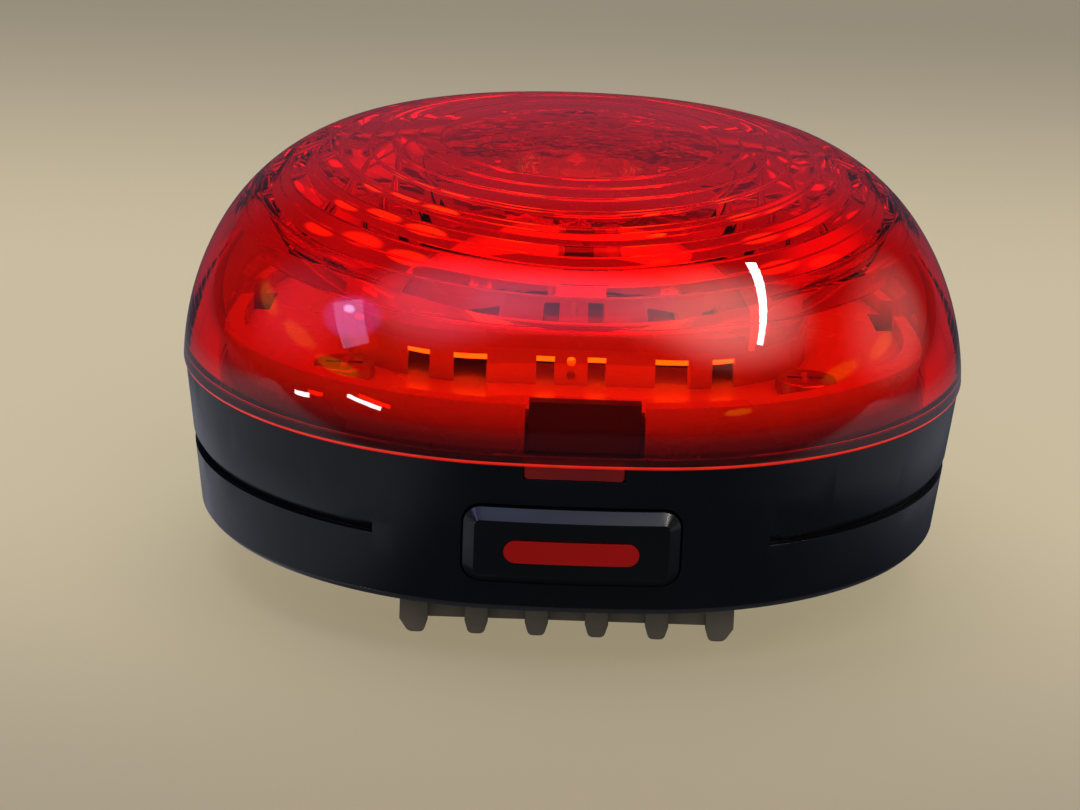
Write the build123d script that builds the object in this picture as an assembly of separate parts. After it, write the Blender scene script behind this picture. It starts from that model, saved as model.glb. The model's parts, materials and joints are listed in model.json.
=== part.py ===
from build123d import *
from math import atan2, degrees, sqrt
import os

# A rechargeable bicycle tail light: a square-round black band with a red dome on it.
# Millimetres. The light lies on its ribbed mounting pad with the dome up (+Z).
# The press button is on the front (-Y) and the charging port on the back (+Y).
# The origin is on the ground, under the middle of the body.

# Outline of the body from above: four bowed sides and four round corners
body_half = 22.5
side_radius = 60.0
corner_radius = 19.5

# Mounting pad under the rear cover
pad_width = 18.55
pad_length = 33.0
pad_corner = 1.5
pad_thickness = 2.4
pad_seat = 0.4
rib_count = 6
rib_pitch = 3.34
rib_height = 0.75
rib_foot = 0.85
rib_root = 1.3
rib_round = 0.25
rib_proud = 0.5

# Rear cover
cover_lip = 0.4
cover_lip_step = 0.1
cover_chamfer = 0.25
cover_floor = 1.4
spigot_height = 1.2
spigot_wall = 1.2
spigot_clearance = 0.1
seal_lift = 0.3
seal_height = 0.6
seal_depth = 0.6
post_height = 0.7
post_radius = 1.4
post_place = 11.0
boss_gap = 0.05

# Black band
band_step = 0.12
band_taper = 1.05
band_wall = 1.88
web_bite = 0.6
weld_start = 0.9
weld_width = 0.5
weld_height = 0.4
weld_clearance = 0.05
groove_height = 0.9
groove_depth = 0.45
groove_end = 10.8
groove_share = 0.415

# Red lens
dome_height = 13.3
crown_radius = 75.0
shoulder_radius = 12.5
lens_wall = 2.0
rim_round = 0.22
tab_width = 5.4
tab_height = 0.7
tab_thickness = 0.65
tab_clearance = 0.05
step_start = 7.8
step_pitch = 1.33
step_land = 0.15
step_margin = 1.4

# White reflector frame, its cover and the lamp board between them
frame_gap = 0.6
frame_wall = 1.0
frame_height = 2.7
platform_lift = 0.9
platform_thickness = 0.8
box_corner = 7.6
box_screw_gap = 0.75
box_wall = 1.0
box_ledge = 0.8
board_lift = 1.0
board_clearance = 0.1
notch_width = 6.4
notch_place = 0.5
notch_depth = 2.5
side_notch_width = 4.2
side_notch_place = 2.0
side_notch_depth = 2.0
slit_height = 1.6
slit_places = (1.4, 5.5, 8.3)
slit_widths = (1.0, 1.8, 1.2)
slit_shift = -0.25
peep_radius = 0.25
pillar_radius = 1.7
pillar_gap = 0.75
plate_thickness = 0.8
plate_window_slope = 0.35
plate_window_gap = 0.15
plate_centre_radius = 4.7
chip_window_width = 4.2
chip_window_depth = 3.6
chip_window_shift_x = 0.7
chip_window_shift_y = 0.1

# Boards, battery and what joins them
board_thickness = 1.0
board_gap = 0.3
tape_thickness = 0.5
tape_margin = 1.0
cell_thickness = 5.0
cell_side_gap = 0.29
cell_end_room = 2.1
cell_clearance = 0.1
cell_round = 1.2
terrace_length = 2.2
terrace_thickness = 1.0
lead_diameter = 0.8
lead_spacing = 6.0
lead_reach = 1.1
lead_bend = 0.9
pin_count = 4
pin_pitch = 2.0
pin_size = 0.5
pin_edge = 1.0
pin_slot_margin = 0.5
spacer_depth = 1.6
spacer_height = 1.5

# Screws
boss_radius = 2.2
boss_room = 0.7
screw_radius = 0.8
screw_slack = 0.15
screw_head_radius = 1.6
screw_head_height = 0.7
head_recess = 0.1
screw_grip = 3.0
small_screw_radius = 0.6
small_head_radius = 1.1
small_head_height = 0.5
small_grip = 2.2
short_grip = 0.8
board_boss_radius = 1.5
board_boss_height = 3.0
board_boss_side = 3.6
board_boss_edge = 4.1
drive_width = 0.35
drive_depth = 0.3
drive_share = 0.6

# Button, its window and the switch that it presses
key_width = 11.7
key_height = 4.4
key_corner = 1.0
key_proud = 0.8
key_bevel = 0.6
key_clearance = 0.12
key_travel = 0.4
key_lift = 0.15
flange_side = 0.9
flange_top = 0.7
flange_thickness = 0.8
flange_clearance = 0.2
pocket_wall = 1.45
stem_length = 1.6
stem_radius = 0.8
window_width = 7.3
window_height = 1.3
window_drop = 0.15
window_proud = 0.12
window_depth = 1.0
switch_width = 4.7
switch_depth = 3.5
switch_height = 1.7
plunger_width = 1.8
plunger_height = 1.0
plunger_reach = 0.9
plunger_root = 0.5
plunger_gap = 0.04
plunger_clearance = 0.05
holder_wall = 0.9
holder_gap = 0.2
holder_plate = 0.8
holder_roof_gap = 0.5

# Charging port and its rubber flap
port_width = 8.94
port_height = 3.16
port_length = 7.3
port_metal = 0.3
port_corner = 1.3
port_inset = 1.3
port_clearance = 0.2
tongue_width = 6.7
tongue_thickness = 0.7
tongue_round = 0.2
tongue_setback = 1.3
flap_width = 13.2
flap_height = 4.9
flap_corner = 1.4
flap_thickness = 1.25
flap_clearance = 0.15
flap_top_clearance = 0.25
flap_back_gap = 0.05
plug_width = 7.4
plug_height = 1.4
plug_corner = 0.5
plug_length = 0.6
lift_width = 4.4
lift_height = 0.5
lift_proud = 0.25
lift_drop = 0.9
anchor_width = 6.0
anchor_height = 0.6

# Lamps and optics
centre_led_size = 3.5
centre_led_corner = 0.3
led_base = 0.8
centre_led_dome = 1.45
side_led_width = 2.8
side_led_length = 2.8
side_led_height = 0.7
side_led_corner = 0.2
phosphor_radius = 1.0
phosphor_depth = 0.3
phosphor_fill = 0.8
side_led_count = 6
side_led_reach = 8.8
optic_top_radius = 3.6
optic_foot_radius = 2.2
optic_foot_lift = 0.3
optic_waist = 0.35
optic_flange_radius = 4.5
optic_flange = 0.5
optic_crown = 0.7
optic_top_gap = 0.8
optic_pocket_gap = 0.35
optic_leg_radius = 0.35
optic_leg_inset = 0.1
optic_legs = 3
driver_size = 2.0
driver_height = 0.75
driver_x = 0.0
driver_edge_place = 2.8
driver_chamfer = 0.08
chip_length = 1.6
chip_width = 0.8
chip_height = 0.5
chip_gap = 0.1

# How far a cutting block runs past the face that it opens
over = 2.0

# Heights, worked out from the ground up
cover_z = rib_height + pad_thickness
band_z = cover_z + cover_lip
floor_z = cover_z + cover_floor
spigot_z = band_z + spigot_height
seal_z = band_z + seal_lift
main_z = floor_z + post_height
main_top = main_z + board_thickness
cell_z = main_top + tape_thickness
cell_top = cell_z + cell_thickness
joint_z = cell_top + cell_clearance
platform_z = joint_z + platform_lift
platform_top = platform_z + platform_thickness
frame_top = joint_z + frame_height
led_board_z = platform_top + board_lift
led_top = led_board_z + board_thickness
plate_top = led_top + plate_thickness
top_z = joint_z + dome_height
switch_z = main_top + switch_height / 2
key_z = switch_z + key_lift
port_z = main_top + port_height / 2

# Insets from the outline at the lens joint
band_inset = band_step + band_taper
cavity_inset = band_inset + band_wall
cavity_half = body_half - cavity_inset
frame_inset = lens_wall + frame_gap
main_board_inset = cavity_inset + board_gap
board_boss_y = cavity_half - board_boss_edge

# Where a bowed side meets a corner, and how far a corner reaches from the middle
side_centre = side_radius - body_half
corner_place = (sqrt(2 * (side_radius - corner_radius) ** 2 - side_centre**2) - side_centre) / 2
corner_reach = corner_place * sqrt(2) + corner_radius
boss_place = (corner_reach - cavity_inset - boss_room - boss_radius) / sqrt(2)
board_boss_x = boss_place - board_boss_side

# The raised box keeps clear of the screws at its corners, and what stands in it follows
box_reach = boss_place * sqrt(2) - screw_head_radius - box_screw_gap
box_half = box_corner + (box_reach - box_corner) / sqrt(2)
pillar_place = (box_reach - box_wall - pillar_radius - pillar_gap) / sqrt(2)
pin_place = box_half - box_wall - board_clearance - pin_edge
cell_width = 2 * (pin_place - spacer_depth / 2 - cell_side_gap)
driver_y = driver_edge_place - box_half

# As many steps under the lens as its flat part holds
step_count = int((body_half - lens_wall - step_margin - step_start) / step_pitch)

# Centre of the crown's sphere and of the shoulder's round, in the section through X
crown_centre = top_z - crown_radius
shoulder_x = body_half - shoulder_radius
shoulder_z = crown_centre + sqrt((crown_radius - shoulder_radius) ** 2 - shoulder_x**2)


def skin_inset(z):
    """How far the drafted band lies inside the outline at height z."""
    return band_step + band_taper * (joint_z - z) / (joint_z - band_z)


def skin_y(z):
    """Distance of the band's face from the middle of the body at height z."""
    return body_half - skin_inset(z)


# Places along Y of the button, the switch and the port, taken from the band's face
pocket_y = skin_y(key_z) - pocket_wall
flange_y = pocket_y - flange_thickness
stem_y = flange_y - stem_length
switch_y = stem_y - plunger_gap - plunger_reach
port_y = skin_y(port_z) - port_inset
flap_floor = skin_y(port_z) - flap_thickness
flap_low = port_z - flap_height / 2
flap_high = port_z + flap_height / 2


def outline(inset=0.0):
    """The body's outline as a face, drawn in by inset all round."""
    reach = side_radius - corner_radius
    meet_x = (side_radius - inset) * corner_place / reach
    meet_y = (side_radius - inset) * (corner_place + side_centre) / reach - side_centre
    middle = body_half - inset
    diagonal = corner_place + (corner_radius - inset) / sqrt(2)
    edges = []
    for quarter in range(4):
        side = ThreePointArc((-meet_x, meet_y), (0, middle), (meet_x, meet_y))
        corner = ThreePointArc((meet_x, meet_y), (diagonal, diagonal), (meet_y, meet_x))
        edges.append(side.rotate(Axis.Z, -90 * quarter))
        edges.append(corner.rotate(Axis.Z, -90 * quarter))
    return make_face(edges)


def prism(inset, low, high):
    """An upright block on the outline, from low to high."""
    return extrude(Pos(0, 0, low) * outline(inset), amount=high - low)


def ring(outer_inset, inner_inset, low, high):
    """An upright wall that follows the outline."""
    return prism(outer_inset, low, high) - prism(inner_inset, low, high)


def drafted(low, high, offset=0.0):
    """The band's outer form between two heights, drawn in by offset."""
    faces = [Pos(0, 0, z) * outline(skin_inset(z) + offset) for z in (low, high)]
    return loft(faces, ruled=True)


def rounded(half, corner, low, high):
    """An upright block on a square with round corners."""
    return extrude(Pos(0, 0, low) * RectangleRounded(2 * half, 2 * half, corner), amount=high - low)


def along_y(section, x, z, y_near, y_far):
    """A bar of any section, from y_near towards -Y as far as y_far."""
    plane = Plane(origin=(x, y_near, z), x_dir=(1, 0, 0), z_dir=(0, -1, 0))
    return extrude(plane * section, amount=y_near - y_far)


def bar_y(width, height, radius, x, z, y_near, y_far):
    """A round-cornered bar along Y."""
    return along_y(RectangleRounded(width, height, radius), x, z, y_near, y_far)


def block(x_size, y_size, z_size, x, y, z):
    """A box that stands on height z."""
    return Pos(x, y, z) * Box(x_size, y_size, z_size, align=(Align.CENTER, Align.CENTER, Align.MIN))


def post(radius, x, y, low, high):
    """An upright round post."""
    return Pos(x, y, low) * Cylinder(radius, high - low, align=(Align.CENTER, Align.CENTER, Align.MIN))


def arm(x, y, angle, length, width, low, high):
    """An upright wall that starts at x, y and runs outwards at an angle."""
    wall = Box(length, width, high - low, align=(Align.MIN, Align.CENTER, Align.MIN))
    return Pos(x, y, low) * Rot(0, 0, angle) * wall


def corners(place_x, place_y):
    """The four places at plus and minus two distances."""
    return [(sx * place_x, sy * place_y) for sx in (-1, 1) for sy in (-1, 1)]


def board_boss_places():
    """Two places for the lower board's screws, at the front right and the back left."""
    return [(board_boss_x, -board_boss_y), (-board_boss_x, board_boss_y)]


def dome(inset, low):
    """The dome's form: the outline under a spherical crown, with a wide round between them."""
    body = prism(inset, joint_z - shoulder_radius, top_z + over)
    body = body & Pos(0, 0, crown_centre) * Sphere(crown_radius - inset)
    rim = [e for e in body.edges() if e.center().Z > joint_z + over]
    body = fillet(rim, shoulder_radius - inset)
    return body & prism(inset - over, low, top_z + over)


def inner_height(r):
    """Height of the dome's inner face at distance r, in the section through X."""
    contact = shoulder_x * (crown_radius - lens_wall) / (crown_radius - shoulder_radius)
    if r < contact:
        return crown_centre + sqrt((crown_radius - lens_wall) ** 2 - r**2)
    return shoulder_z + sqrt((shoulder_radius - lens_wall) ** 2 - (r - shoulder_x) ** 2)


def lens_steps():
    """Round steps under the dome's inner face, flat below and upright at their outer edge."""
    points = []
    for i in range(step_count):
        start = step_start + i * step_pitch
        end = start + step_pitch
        tread = inner_height(end) - step_land
        points += [(start, tread), (end, tread)]
    last = step_start + step_count * step_pitch
    points += [(last, top_z), (step_start, top_z)]
    profile = make_face(Polyline([(r, 0, z) for r, z in points], close=True))
    return revolve(profile, Axis.Z)


def tab_form(clearance):
    """The tab that keys the lens in the band, grown by clearance at its sides, foot and back."""
    inner = skin_y(joint_z) - tab_thickness - clearance
    outer = body_half + over
    slab = block(tab_width + 2 * clearance, outer - inner, tab_height + clearance,
                 0, -(inner + outer) / 2, joint_z - tab_height - clearance)
    return slab


def make_lens():
    outer = dome(0.0, joint_z)
    foot = outer.faces().sort_by(Axis.Z)[0]
    shell = fillet(foot.edges(), rim_round) - dome(lens_wall, joint_z - over)
    shell = shell + (lens_steps() & outer)
    shell = shell - ring(weld_start - weld_clearance, weld_start + weld_width + weld_clearance,
                         joint_z, joint_z + weld_height + weld_clearance)
    return shell + (tab_form(0) & drafted(band_z, joint_z))


def side_grooves():
    """A wedge-shaped groove round each side, open above and sharp at its lower lip."""
    lip = band_z + groove_share * (joint_z - band_z)
    high = lip + groove_height
    faces = [Pos(0, 0, lip) * outline(skin_inset(lip) + groove_depth),
             Pos(0, 0, high) * outline(skin_inset(high))]
    wedge = prism(-over, lip, high) - loft(faces, ruled=True)
    return wedge - block(2 * groove_end, 4 * body_half, 2 * groove_height, 0, 0, lip - groove_height / 2)


def button_openings():
    """The hole that the key shows in, and the wider pocket behind it for the key's flange."""
    aperture = bar_y(key_width + 2 * key_clearance, key_height + 2 * key_clearance,
                     key_corner + key_clearance, 0, key_z, 0, -body_half)
    pocket = bar_y(key_width + 2 * flange_side + 2 * flange_clearance,
                   key_height + flange_top + 2 * flange_clearance,
                   key_corner, 0, key_z + flange_top / 2, 0, -pocket_y)
    return aperture + pocket


def port_openings():
    """The flap's recess, the port's hole in its floor and the slot for the flap's root."""
    recess = bar_y(flap_width + 2 * flap_clearance, flap_height + flap_clearance + flap_top_clearance,
                   flap_corner, 0, port_z + (flap_top_clearance - flap_clearance) / 2,
                   body_half, flap_floor - flap_back_gap)
    hole = bar_y(port_width + 2 * port_clearance, port_height + 2 * port_clearance,
                 port_corner + port_clearance, 0, port_z, body_half, 0)
    slot = block(anchor_width, flap_thickness, anchor_height + flap_clearance, 0,
                 flap_floor + flap_thickness / 2, flap_low - flap_clearance - anchor_height)
    return recess + hole + slot


def make_housing():
    shell = drafted(band_z, joint_z)
    shell = shell + ring(weld_start, weld_start + weld_width, joint_z, joint_z + weld_height)
    shell = shell - prism(cavity_inset, band_z - over, joint_z + over)
    inside = prism(cavity_inset - web_bite, band_z, joint_z)
    for x, y in corners(boss_place, boss_place):
        web = arm(x, y, degrees(atan2(y, x)), 2 * boss_radius + boss_room, boss_radius, main_z, joint_z)
        shell = shell + post(boss_radius, x, y, main_z, joint_z) + (web & inside)
        shell = shell - post(screw_radius, x, y, main_z, main_z + screw_grip + screw_slack)
        shell = shell - post(screw_radius, x, y, joint_z - screw_grip - screw_slack, joint_z)
    for x, y in board_boss_places():
        high = main_top + board_boss_height
        web = arm(x, y, 90 if y > 0 else -90, 2 * board_boss_radius + band_wall + over,
                  board_boss_radius, main_top, high)
        shell = shell + post(board_boss_radius, x, y, main_top, high) + (web & inside)
        shell = shell - post(small_screw_radius, x, y, main_top, main_top + small_grip + screw_slack)
    return shell - side_grooves() - button_openings() - port_openings() - tab_form(tab_clearance)


def make_rear_cover():
    lip = prism(band_inset + cover_lip_step, cover_z, band_z)
    lip = chamfer(lip.faces().sort_by(Axis.Z)[0].edges(), cover_chamfer)
    outer = cavity_inset + spigot_clearance
    cover = lip + prism(outer, band_z, floor_z)
    cover = cover + ring(outer, outer + spigot_wall, floor_z, spigot_z)
    cover = cover - ring(outer, outer + seal_depth, seal_z, seal_z + seal_height)
    for x, y in corners(boss_place, boss_place):
        cover = cover + post(boss_radius, x, y, floor_z, main_z - boss_gap)
        cover = cover - post(screw_radius + screw_slack, x, y, cover_z, main_z)
        cover = cover - post(screw_head_radius + screw_slack, x, y, cover_z,
                             cover_z + screw_head_height + head_recess)
    for x, y in ((post_place, 0), (-post_place, 0), (0, post_place), (0, -post_place)):
        cover = cover + post(post_radius, x, y, floor_z, main_z)
    seat = Pos(0, 0, cover_z) * RectangleRounded(pad_width, pad_length, pad_corner)
    return cover - extrude(seat, amount=pad_seat)


def make_cover_seal():
    """A rubber ring in the cover's groove. It fills the gap to the band."""
    return ring(cavity_inset, cavity_inset + spigot_clearance + seal_depth, seal_z, seal_z + seal_height)


def make_mount_pad():
    """A slab let into the cover, a base set back from its ends and ribs over the full length."""
    full = RectangleRounded(pad_width, pad_length, pad_corner)
    short = RectangleRounded(pad_width, pad_length - 2 * rib_proud, pad_corner)
    pad = extrude(Pos(0, 0, cover_z) * full, amount=pad_seat)
    pad = pad + extrude(Pos(0, 0, rib_height) * short, amount=pad_thickness)
    plane = Plane(origin=(0, pad_length / 2, 0), x_dir=(1, 0, 0), z_dir=(0, -1, 0))
    outer = pad_width / 2 - (rib_count - 1) / 2 * rib_pitch
    for i in range(rib_count):
        x = (i - (rib_count - 1) / 2) * rib_pitch
        left = outer if i == 0 else rib_root / 2
        right = outer if i == rib_count - 1 else rib_root / 2
        section = Polyline((x - left, cover_z), (x - left, rib_height), (x - rib_foot / 2, 0),
                           (x + rib_foot / 2, 0), (x + right, rib_height), (x + right, cover_z), close=True)
        rib = extrude(plane * make_face(section), amount=pad_length)
        foot = [e for e in rib.edges().filter_by(Axis.Y) if e.center().Z < rib_height / 2]
        pad = pad + (fillet(foot, rib_round) & extrude(full, amount=cover_z))
    return pad


def screw(x, y, seat, direction, radius, head_radius, head_height, length):
    """A flat-headed screw with a cross drive. Its head sits on seat and its shank runs in direction."""
    low, high = sorted((seat, seat + direction * length))
    head_low, head_high = sorted((seat, seat - direction * head_height))
    crown = seat - direction * head_height
    body = post(radius, x, y, low, high) + post(head_radius, x, y, head_low, head_high)
    arm_length = 2 * head_radius * drive_share
    for x_size, y_size in ((arm_length, drive_width), (drive_width, arm_length)):
        body = body - Pos(x, y, crown) * Box(x_size, y_size, 2 * drive_depth)
    return body


def make_cover_screws():
    seat = cover_z + screw_head_height + head_recess
    length = main_z - seat + screw_grip
    return [screw(x, y, seat, 1, screw_radius, screw_head_radius, screw_head_height, length)
            for x, y in corners(boss_place, boss_place)]


def make_frame_screws():
    length = platform_top - joint_z + screw_grip
    return [screw(x, y, platform_top, -1, screw_radius, screw_head_radius, screw_head_height, length)
            for x, y in corners(boss_place, boss_place)]


def frame_notches():
    """Gaps in the frame's outer wall: one at the front for the switch's holder, one at each side."""
    reach = body_half - frame_inset
    height = frame_top - joint_z
    front = block(notch_width, 2 * notch_depth, height, notch_place, -reach, joint_z)
    for side in (-1, 1):
        front = front + block(2 * side_notch_depth, side_notch_width, height,
                              side * reach, side_notch_place, joint_z)
    return front


def front_slits():
    """Openings through the front of the frame's raised box, mirrored left and right."""
    depth = box_wall + box_ledge + 2 * over
    y = -(box_half + over - depth / 2)
    cuts = [block(width, depth, slit_height, side * x + slit_shift, y, platform_top)
            for x, width in zip(slit_places, slit_widths) for side in (-1, 1)]
    for share in (1, 2):
        z = platform_top + share * slit_height / 2 - peep_radius
        cuts.append(along_y(Circle(peep_radius), slit_shift, z, -(box_half - box_wall), -(box_half + over)))
    return cuts


def make_reflector_frame():
    frame = prism(frame_inset, joint_z, frame_top)
    frame = frame - prism(frame_inset + frame_wall, platform_top, frame_top)
    frame = frame - prism(frame_inset + frame_wall, joint_z, platform_z)
    frame = frame + rounded(box_half, box_corner, platform_top, led_top)
    inner = box_half - box_wall
    frame = frame - rounded(inner, box_corner - box_wall, led_board_z, led_top)
    frame = frame - rounded(inner - box_ledge, box_corner - box_wall - box_ledge, platform_top, led_board_z)
    for x, y in corners(boss_place, boss_place):
        frame = frame + post(boss_radius, x, y, joint_z, platform_z)
        frame = frame - post(screw_radius + screw_slack, x, y, joint_z, platform_top)
    for x, y in corners(pillar_place, pillar_place):
        frame = frame + post(pillar_radius, x, y, platform_top, led_board_z)
        frame = frame - post(small_screw_radius, x, y, led_board_z - short_grip, led_board_z)
    pins = pin_count * pin_pitch + 2 * pin_slot_margin
    frame = frame - block(pins, spacer_depth, platform_thickness, 0, pin_place, platform_z)
    return frame - frame_notches() - front_slits()


def led_board_half():
    """Half the lamp board's width, from the box that it lies in."""
    return box_half - box_wall - board_clearance


def make_led_board():
    board = rounded(led_board_half(), box_corner - box_wall - board_clearance, led_board_z, led_top)
    for x, y in corners(pillar_place, pillar_place):
        board = board - post(small_screw_radius + screw_slack, x, y, led_board_z, led_top)
    for x in pin_xs():
        board = board - block(pin_size, pin_size, board_thickness, x, pin_place, led_board_z)
    return board


def led_window(x, y, turn):
    """A window in the reflector's cover that opens upwards round a lamp."""
    low = 2 * plate_window_gap
    high = low + 2 * plate_window_slope
    faces = [Pos(0, 0, led_top) * Rectangle(side_led_width + low, side_led_length + low),
             Pos(0, 0, plate_top) * Rectangle(side_led_width + high, side_led_length + high)]
    return Pos(x, y, 0) * Rot(0, 0, turn) * loft(faces, ruled=True)


def make_reflector_cover():
    plate = rounded(box_half, box_corner, led_top, plate_top)
    plate = plate - post(plate_centre_radius, 0, 0, led_top, plate_top)
    for x, y, turn in side_led_places():
        plate = plate - led_window(x, y, turn)
    for x, y in corners(pillar_place, pillar_place):
        plate = plate - post(small_screw_radius + screw_slack, x, y, led_top, plate_top)
        plate = plate - post(small_head_radius + screw_slack, x, y, plate_top - small_head_height, plate_top)
    plate = plate - block(chip_window_width, chip_window_depth, plate_thickness,
                          driver_x + chip_window_shift_x, driver_y + chip_window_shift_y, led_top)
    pins = pin_count * pin_pitch + 2 * pin_slot_margin
    return plate - block(pins, spacer_depth, plate_thickness, 0, pin_place, led_top)


def make_cover_plate_screws():
    seat = plate_top - small_head_height
    length = seat - led_board_z + short_grip
    return [screw(x, y, seat, -1, small_screw_radius, small_head_radius, small_head_height, length)
            for x, y in corners(pillar_place, pillar_place)]


def side_led_places():
    """Lamps evenly round the middle one, each turned to face it: x, y and turn."""
    places = PolarLocations(side_led_reach, side_led_count)
    return [(p.position.X, p.position.Y, p.orientation.Z) for p in places]


def make_side_leds():
    bodies = []
    for x, y, turn in side_led_places():
        body = block(side_led_width, side_led_length, side_led_height, 0, 0, led_top)
        body = chamfer(body.edges().filter_by(Axis.Z), side_led_corner)
        high = led_top + side_led_height
        body = body - post(phosphor_radius, 0, 0, high - phosphor_depth, high)
        bodies.append(Pos(x, y, 0) * Rot(0, 0, turn) * body)
    return bodies


def make_side_phosphors():
    low = led_top + side_led_height - phosphor_depth
    return [post(phosphor_radius, x, y, low, low + phosphor_depth * phosphor_fill)
            for x, y, turn in side_led_places()]


def make_centre_led():
    base = block(centre_led_size, centre_led_size, led_base, 0, 0, led_top)
    base = chamfer(base.edges().filter_by(Axis.Z), centre_led_corner)
    ball = Pos(0, 0, led_top + led_base) * Sphere(centre_led_dome)
    return base + (ball & post(2 * centre_led_dome, 0, 0, led_top + led_base, top_z))


def make_centre_optic():
    """A clear cone that gathers the middle lamp's light, under a crown on a flange with three legs."""
    foot = led_top + led_base + optic_foot_lift
    crown = crown_centre + crown_radius - lens_wall - optic_top_gap
    flange_high = crown - optic_crown
    flange_low = flange_high - optic_flange
    middle_r = (optic_foot_radius + optic_top_radius) / 2 + optic_waist
    cap_radius = (optic_top_radius**2 + optic_crown**2) / (2 * optic_crown)
    cap_middle = crown - cap_radius + sqrt(cap_radius**2 - (optic_top_radius / 2) ** 2)
    section = make_face([
        Line((0, 0, foot), (optic_foot_radius, 0, foot)),
        ThreePointArc((optic_foot_radius, 0, foot), (middle_r, 0, (foot + flange_low) / 2),
                      (optic_top_radius, 0, flange_low)),
        Polyline((optic_top_radius, 0, flange_low), (optic_flange_radius, 0, flange_low),
                 (optic_flange_radius, 0, flange_high), (optic_top_radius, 0, flange_high)),
        ThreePointArc((optic_top_radius, 0, flange_high),
                      (optic_top_radius / 2, 0, cap_middle), (0, 0, crown)),
        Line((0, 0, crown), (0, 0, foot))])
    optic = revolve(section, Axis.Z)
    optic = optic - Pos(0, 0, led_top + led_base) * Sphere(centre_led_dome + optic_pocket_gap)
    leg_ring = optic_flange_radius - optic_leg_radius - optic_leg_inset
    for i in range(optic_legs):
        leg = post(optic_leg_radius, leg_ring, 0, led_top, flange_low)
        optic = optic + leg.rotate(Axis.Z, 90 + i * 360 / optic_legs)
    return optic


def make_driver_chip():
    chip = block(driver_size, driver_size, driver_height, driver_x, driver_y, led_top)
    return chamfer(chip.faces().sort_by(Axis.Z)[-1].edges(), driver_chamfer)


def chip_places():
    """Where the small parts lie: in the front window and round the middle lamp. x, y and turn."""
    beside = driver_x + driver_size / 2 + chip_gap + chip_width / 2
    behind = driver_y + driver_size / 2 + chip_gap + chip_width / 2
    front = [(beside, driver_y, 90), (driver_x, behind, 0)]
    middle = centre_led_size / 2 + chip_gap + chip_width / 2
    return front + [(-middle, 0, 90), (middle, 0, 90)]


def make_chip_components():
    size = Box(chip_length, chip_width, chip_height, align=(Align.CENTER, Align.CENTER, Align.MIN))
    return [Pos(x, y, led_top) * Rot(0, 0, turn) * size for x, y, turn in chip_places()]


def pin_xs():
    """Where the pins stand along X."""
    return [(i - (pin_count - 1) / 2) * pin_pitch for i in range(pin_count)]


def make_link_header():
    """The plastic spacer that holds the pins on the lower board."""
    spacer = block(pin_count * pin_pitch, spacer_depth, spacer_height, 0, pin_place, main_top)
    for x in pin_xs():
        spacer = spacer - block(pin_size, pin_size, spacer_height, x, pin_place, main_top)
    return spacer


def make_link_pins():
    """Pins that join the two boards."""
    return [block(pin_size, pin_size, plate_top - main_top, x, pin_place, main_top) for x in pin_xs()]


def make_main_board():
    board = prism(main_board_inset, main_z, main_top)
    for x, y in corners(boss_place, boss_place):
        clear = boss_radius + board_gap
        board = board - post(clear, x, y, main_z, main_top)
        board = board - arm(x, y, degrees(atan2(y, x)), 2 * clear, 2 * clear, main_z, main_top)
    for x, y in board_boss_places():
        board = board - post(small_screw_radius + screw_slack, x, y, main_z, main_top)
    room_width = key_width + 2 * flange_side + 2 * flange_clearance
    room_y = flange_y - key_travel - board_gap
    room = block(room_width, body_half - room_y, board_thickness, 0, -(body_half + room_y) / 2, main_z)
    return board - room


def make_main_board_screws():
    length = board_thickness + small_grip
    return [screw(x, y, main_z, 1, small_screw_radius, small_head_radius, small_head_height, length)
            for x, y in board_boss_places()]


def cell_length():
    """Length of the battery, from the room in the band."""
    return 2 * (cavity_half - cell_end_room)


def make_battery_tape():
    length = cell_length() - terrace_length - 2 * tape_margin
    return block(length, cell_width - 2 * tape_margin, tape_thickness, -terrace_length / 2, 0, main_top)


def make_battery_cell():
    """A flat pouch cell. The sealed end, where its tabs come out, faces +X."""
    length = cell_length()
    pouch = block(length - terrace_length, cell_width, cell_thickness, -terrace_length / 2, 0, cell_z)
    pouch = fillet(pouch.edges().filter_by(Axis.X) + pouch.edges().filter_by(Axis.Z), cell_round)
    terrace = block(terrace_length + cell_round, cell_width - 2 * cell_round, terrace_thickness,
                    length / 2 - (terrace_length + cell_round) / 2, 0, cell_z + cell_thickness / 2)
    return pouch + terrace


def make_battery_lead(side):
    """A lead from the cell's sealed end, out over the edge and down to the lower board."""
    x = cell_length() / 2
    y = side * lead_spacing / 2
    z = cell_z + cell_thickness / 2 + terrace_thickness / 2
    path = FilletPolyline((x, y, z), (x + lead_reach, y, z), (x + lead_reach, y, main_top), radius=lead_bend)
    section = Plane(origin=(x, y, z), z_dir=(1, 0, 0)) * Circle(lead_diameter / 2)
    return sweep(section, path=path)


def window_form(y_far):
    """The window's outline as a bar along Y, from its blind end to y_far."""
    return along_y(SlotOverall(window_width, window_height), 0, key_z - window_drop,
                   -(skin_y(key_z) + key_proud - window_depth), y_far)


def make_button_key():
    """The black key with its bevelled edge, the flange that keeps it in and the stem behind it."""
    key = bar_y(key_width, key_height, key_corner, 0, key_z, -pocket_y, -body_half - over)
    key = key & drafted(band_z, joint_z, -key_proud)
    key = chamfer(key.faces().sort_by(Axis.Y)[0].edges(), key_bevel)
    key = key + bar_y(key_width + 2 * flange_side, key_height + flange_top, key_corner, 0,
                      key_z + flange_top / 2, -flange_y, -pocket_y)
    stem = Plane(origin=(0, -flange_y, switch_z), z_dir=(0, 1, 0)) * Circle(stem_radius)
    return key + extrude(stem, amount=stem_length) - window_form(-body_half - over)


def make_button_window():
    return window_form(-body_half - over) & drafted(band_z, joint_z, -key_proud - window_proud)


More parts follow.
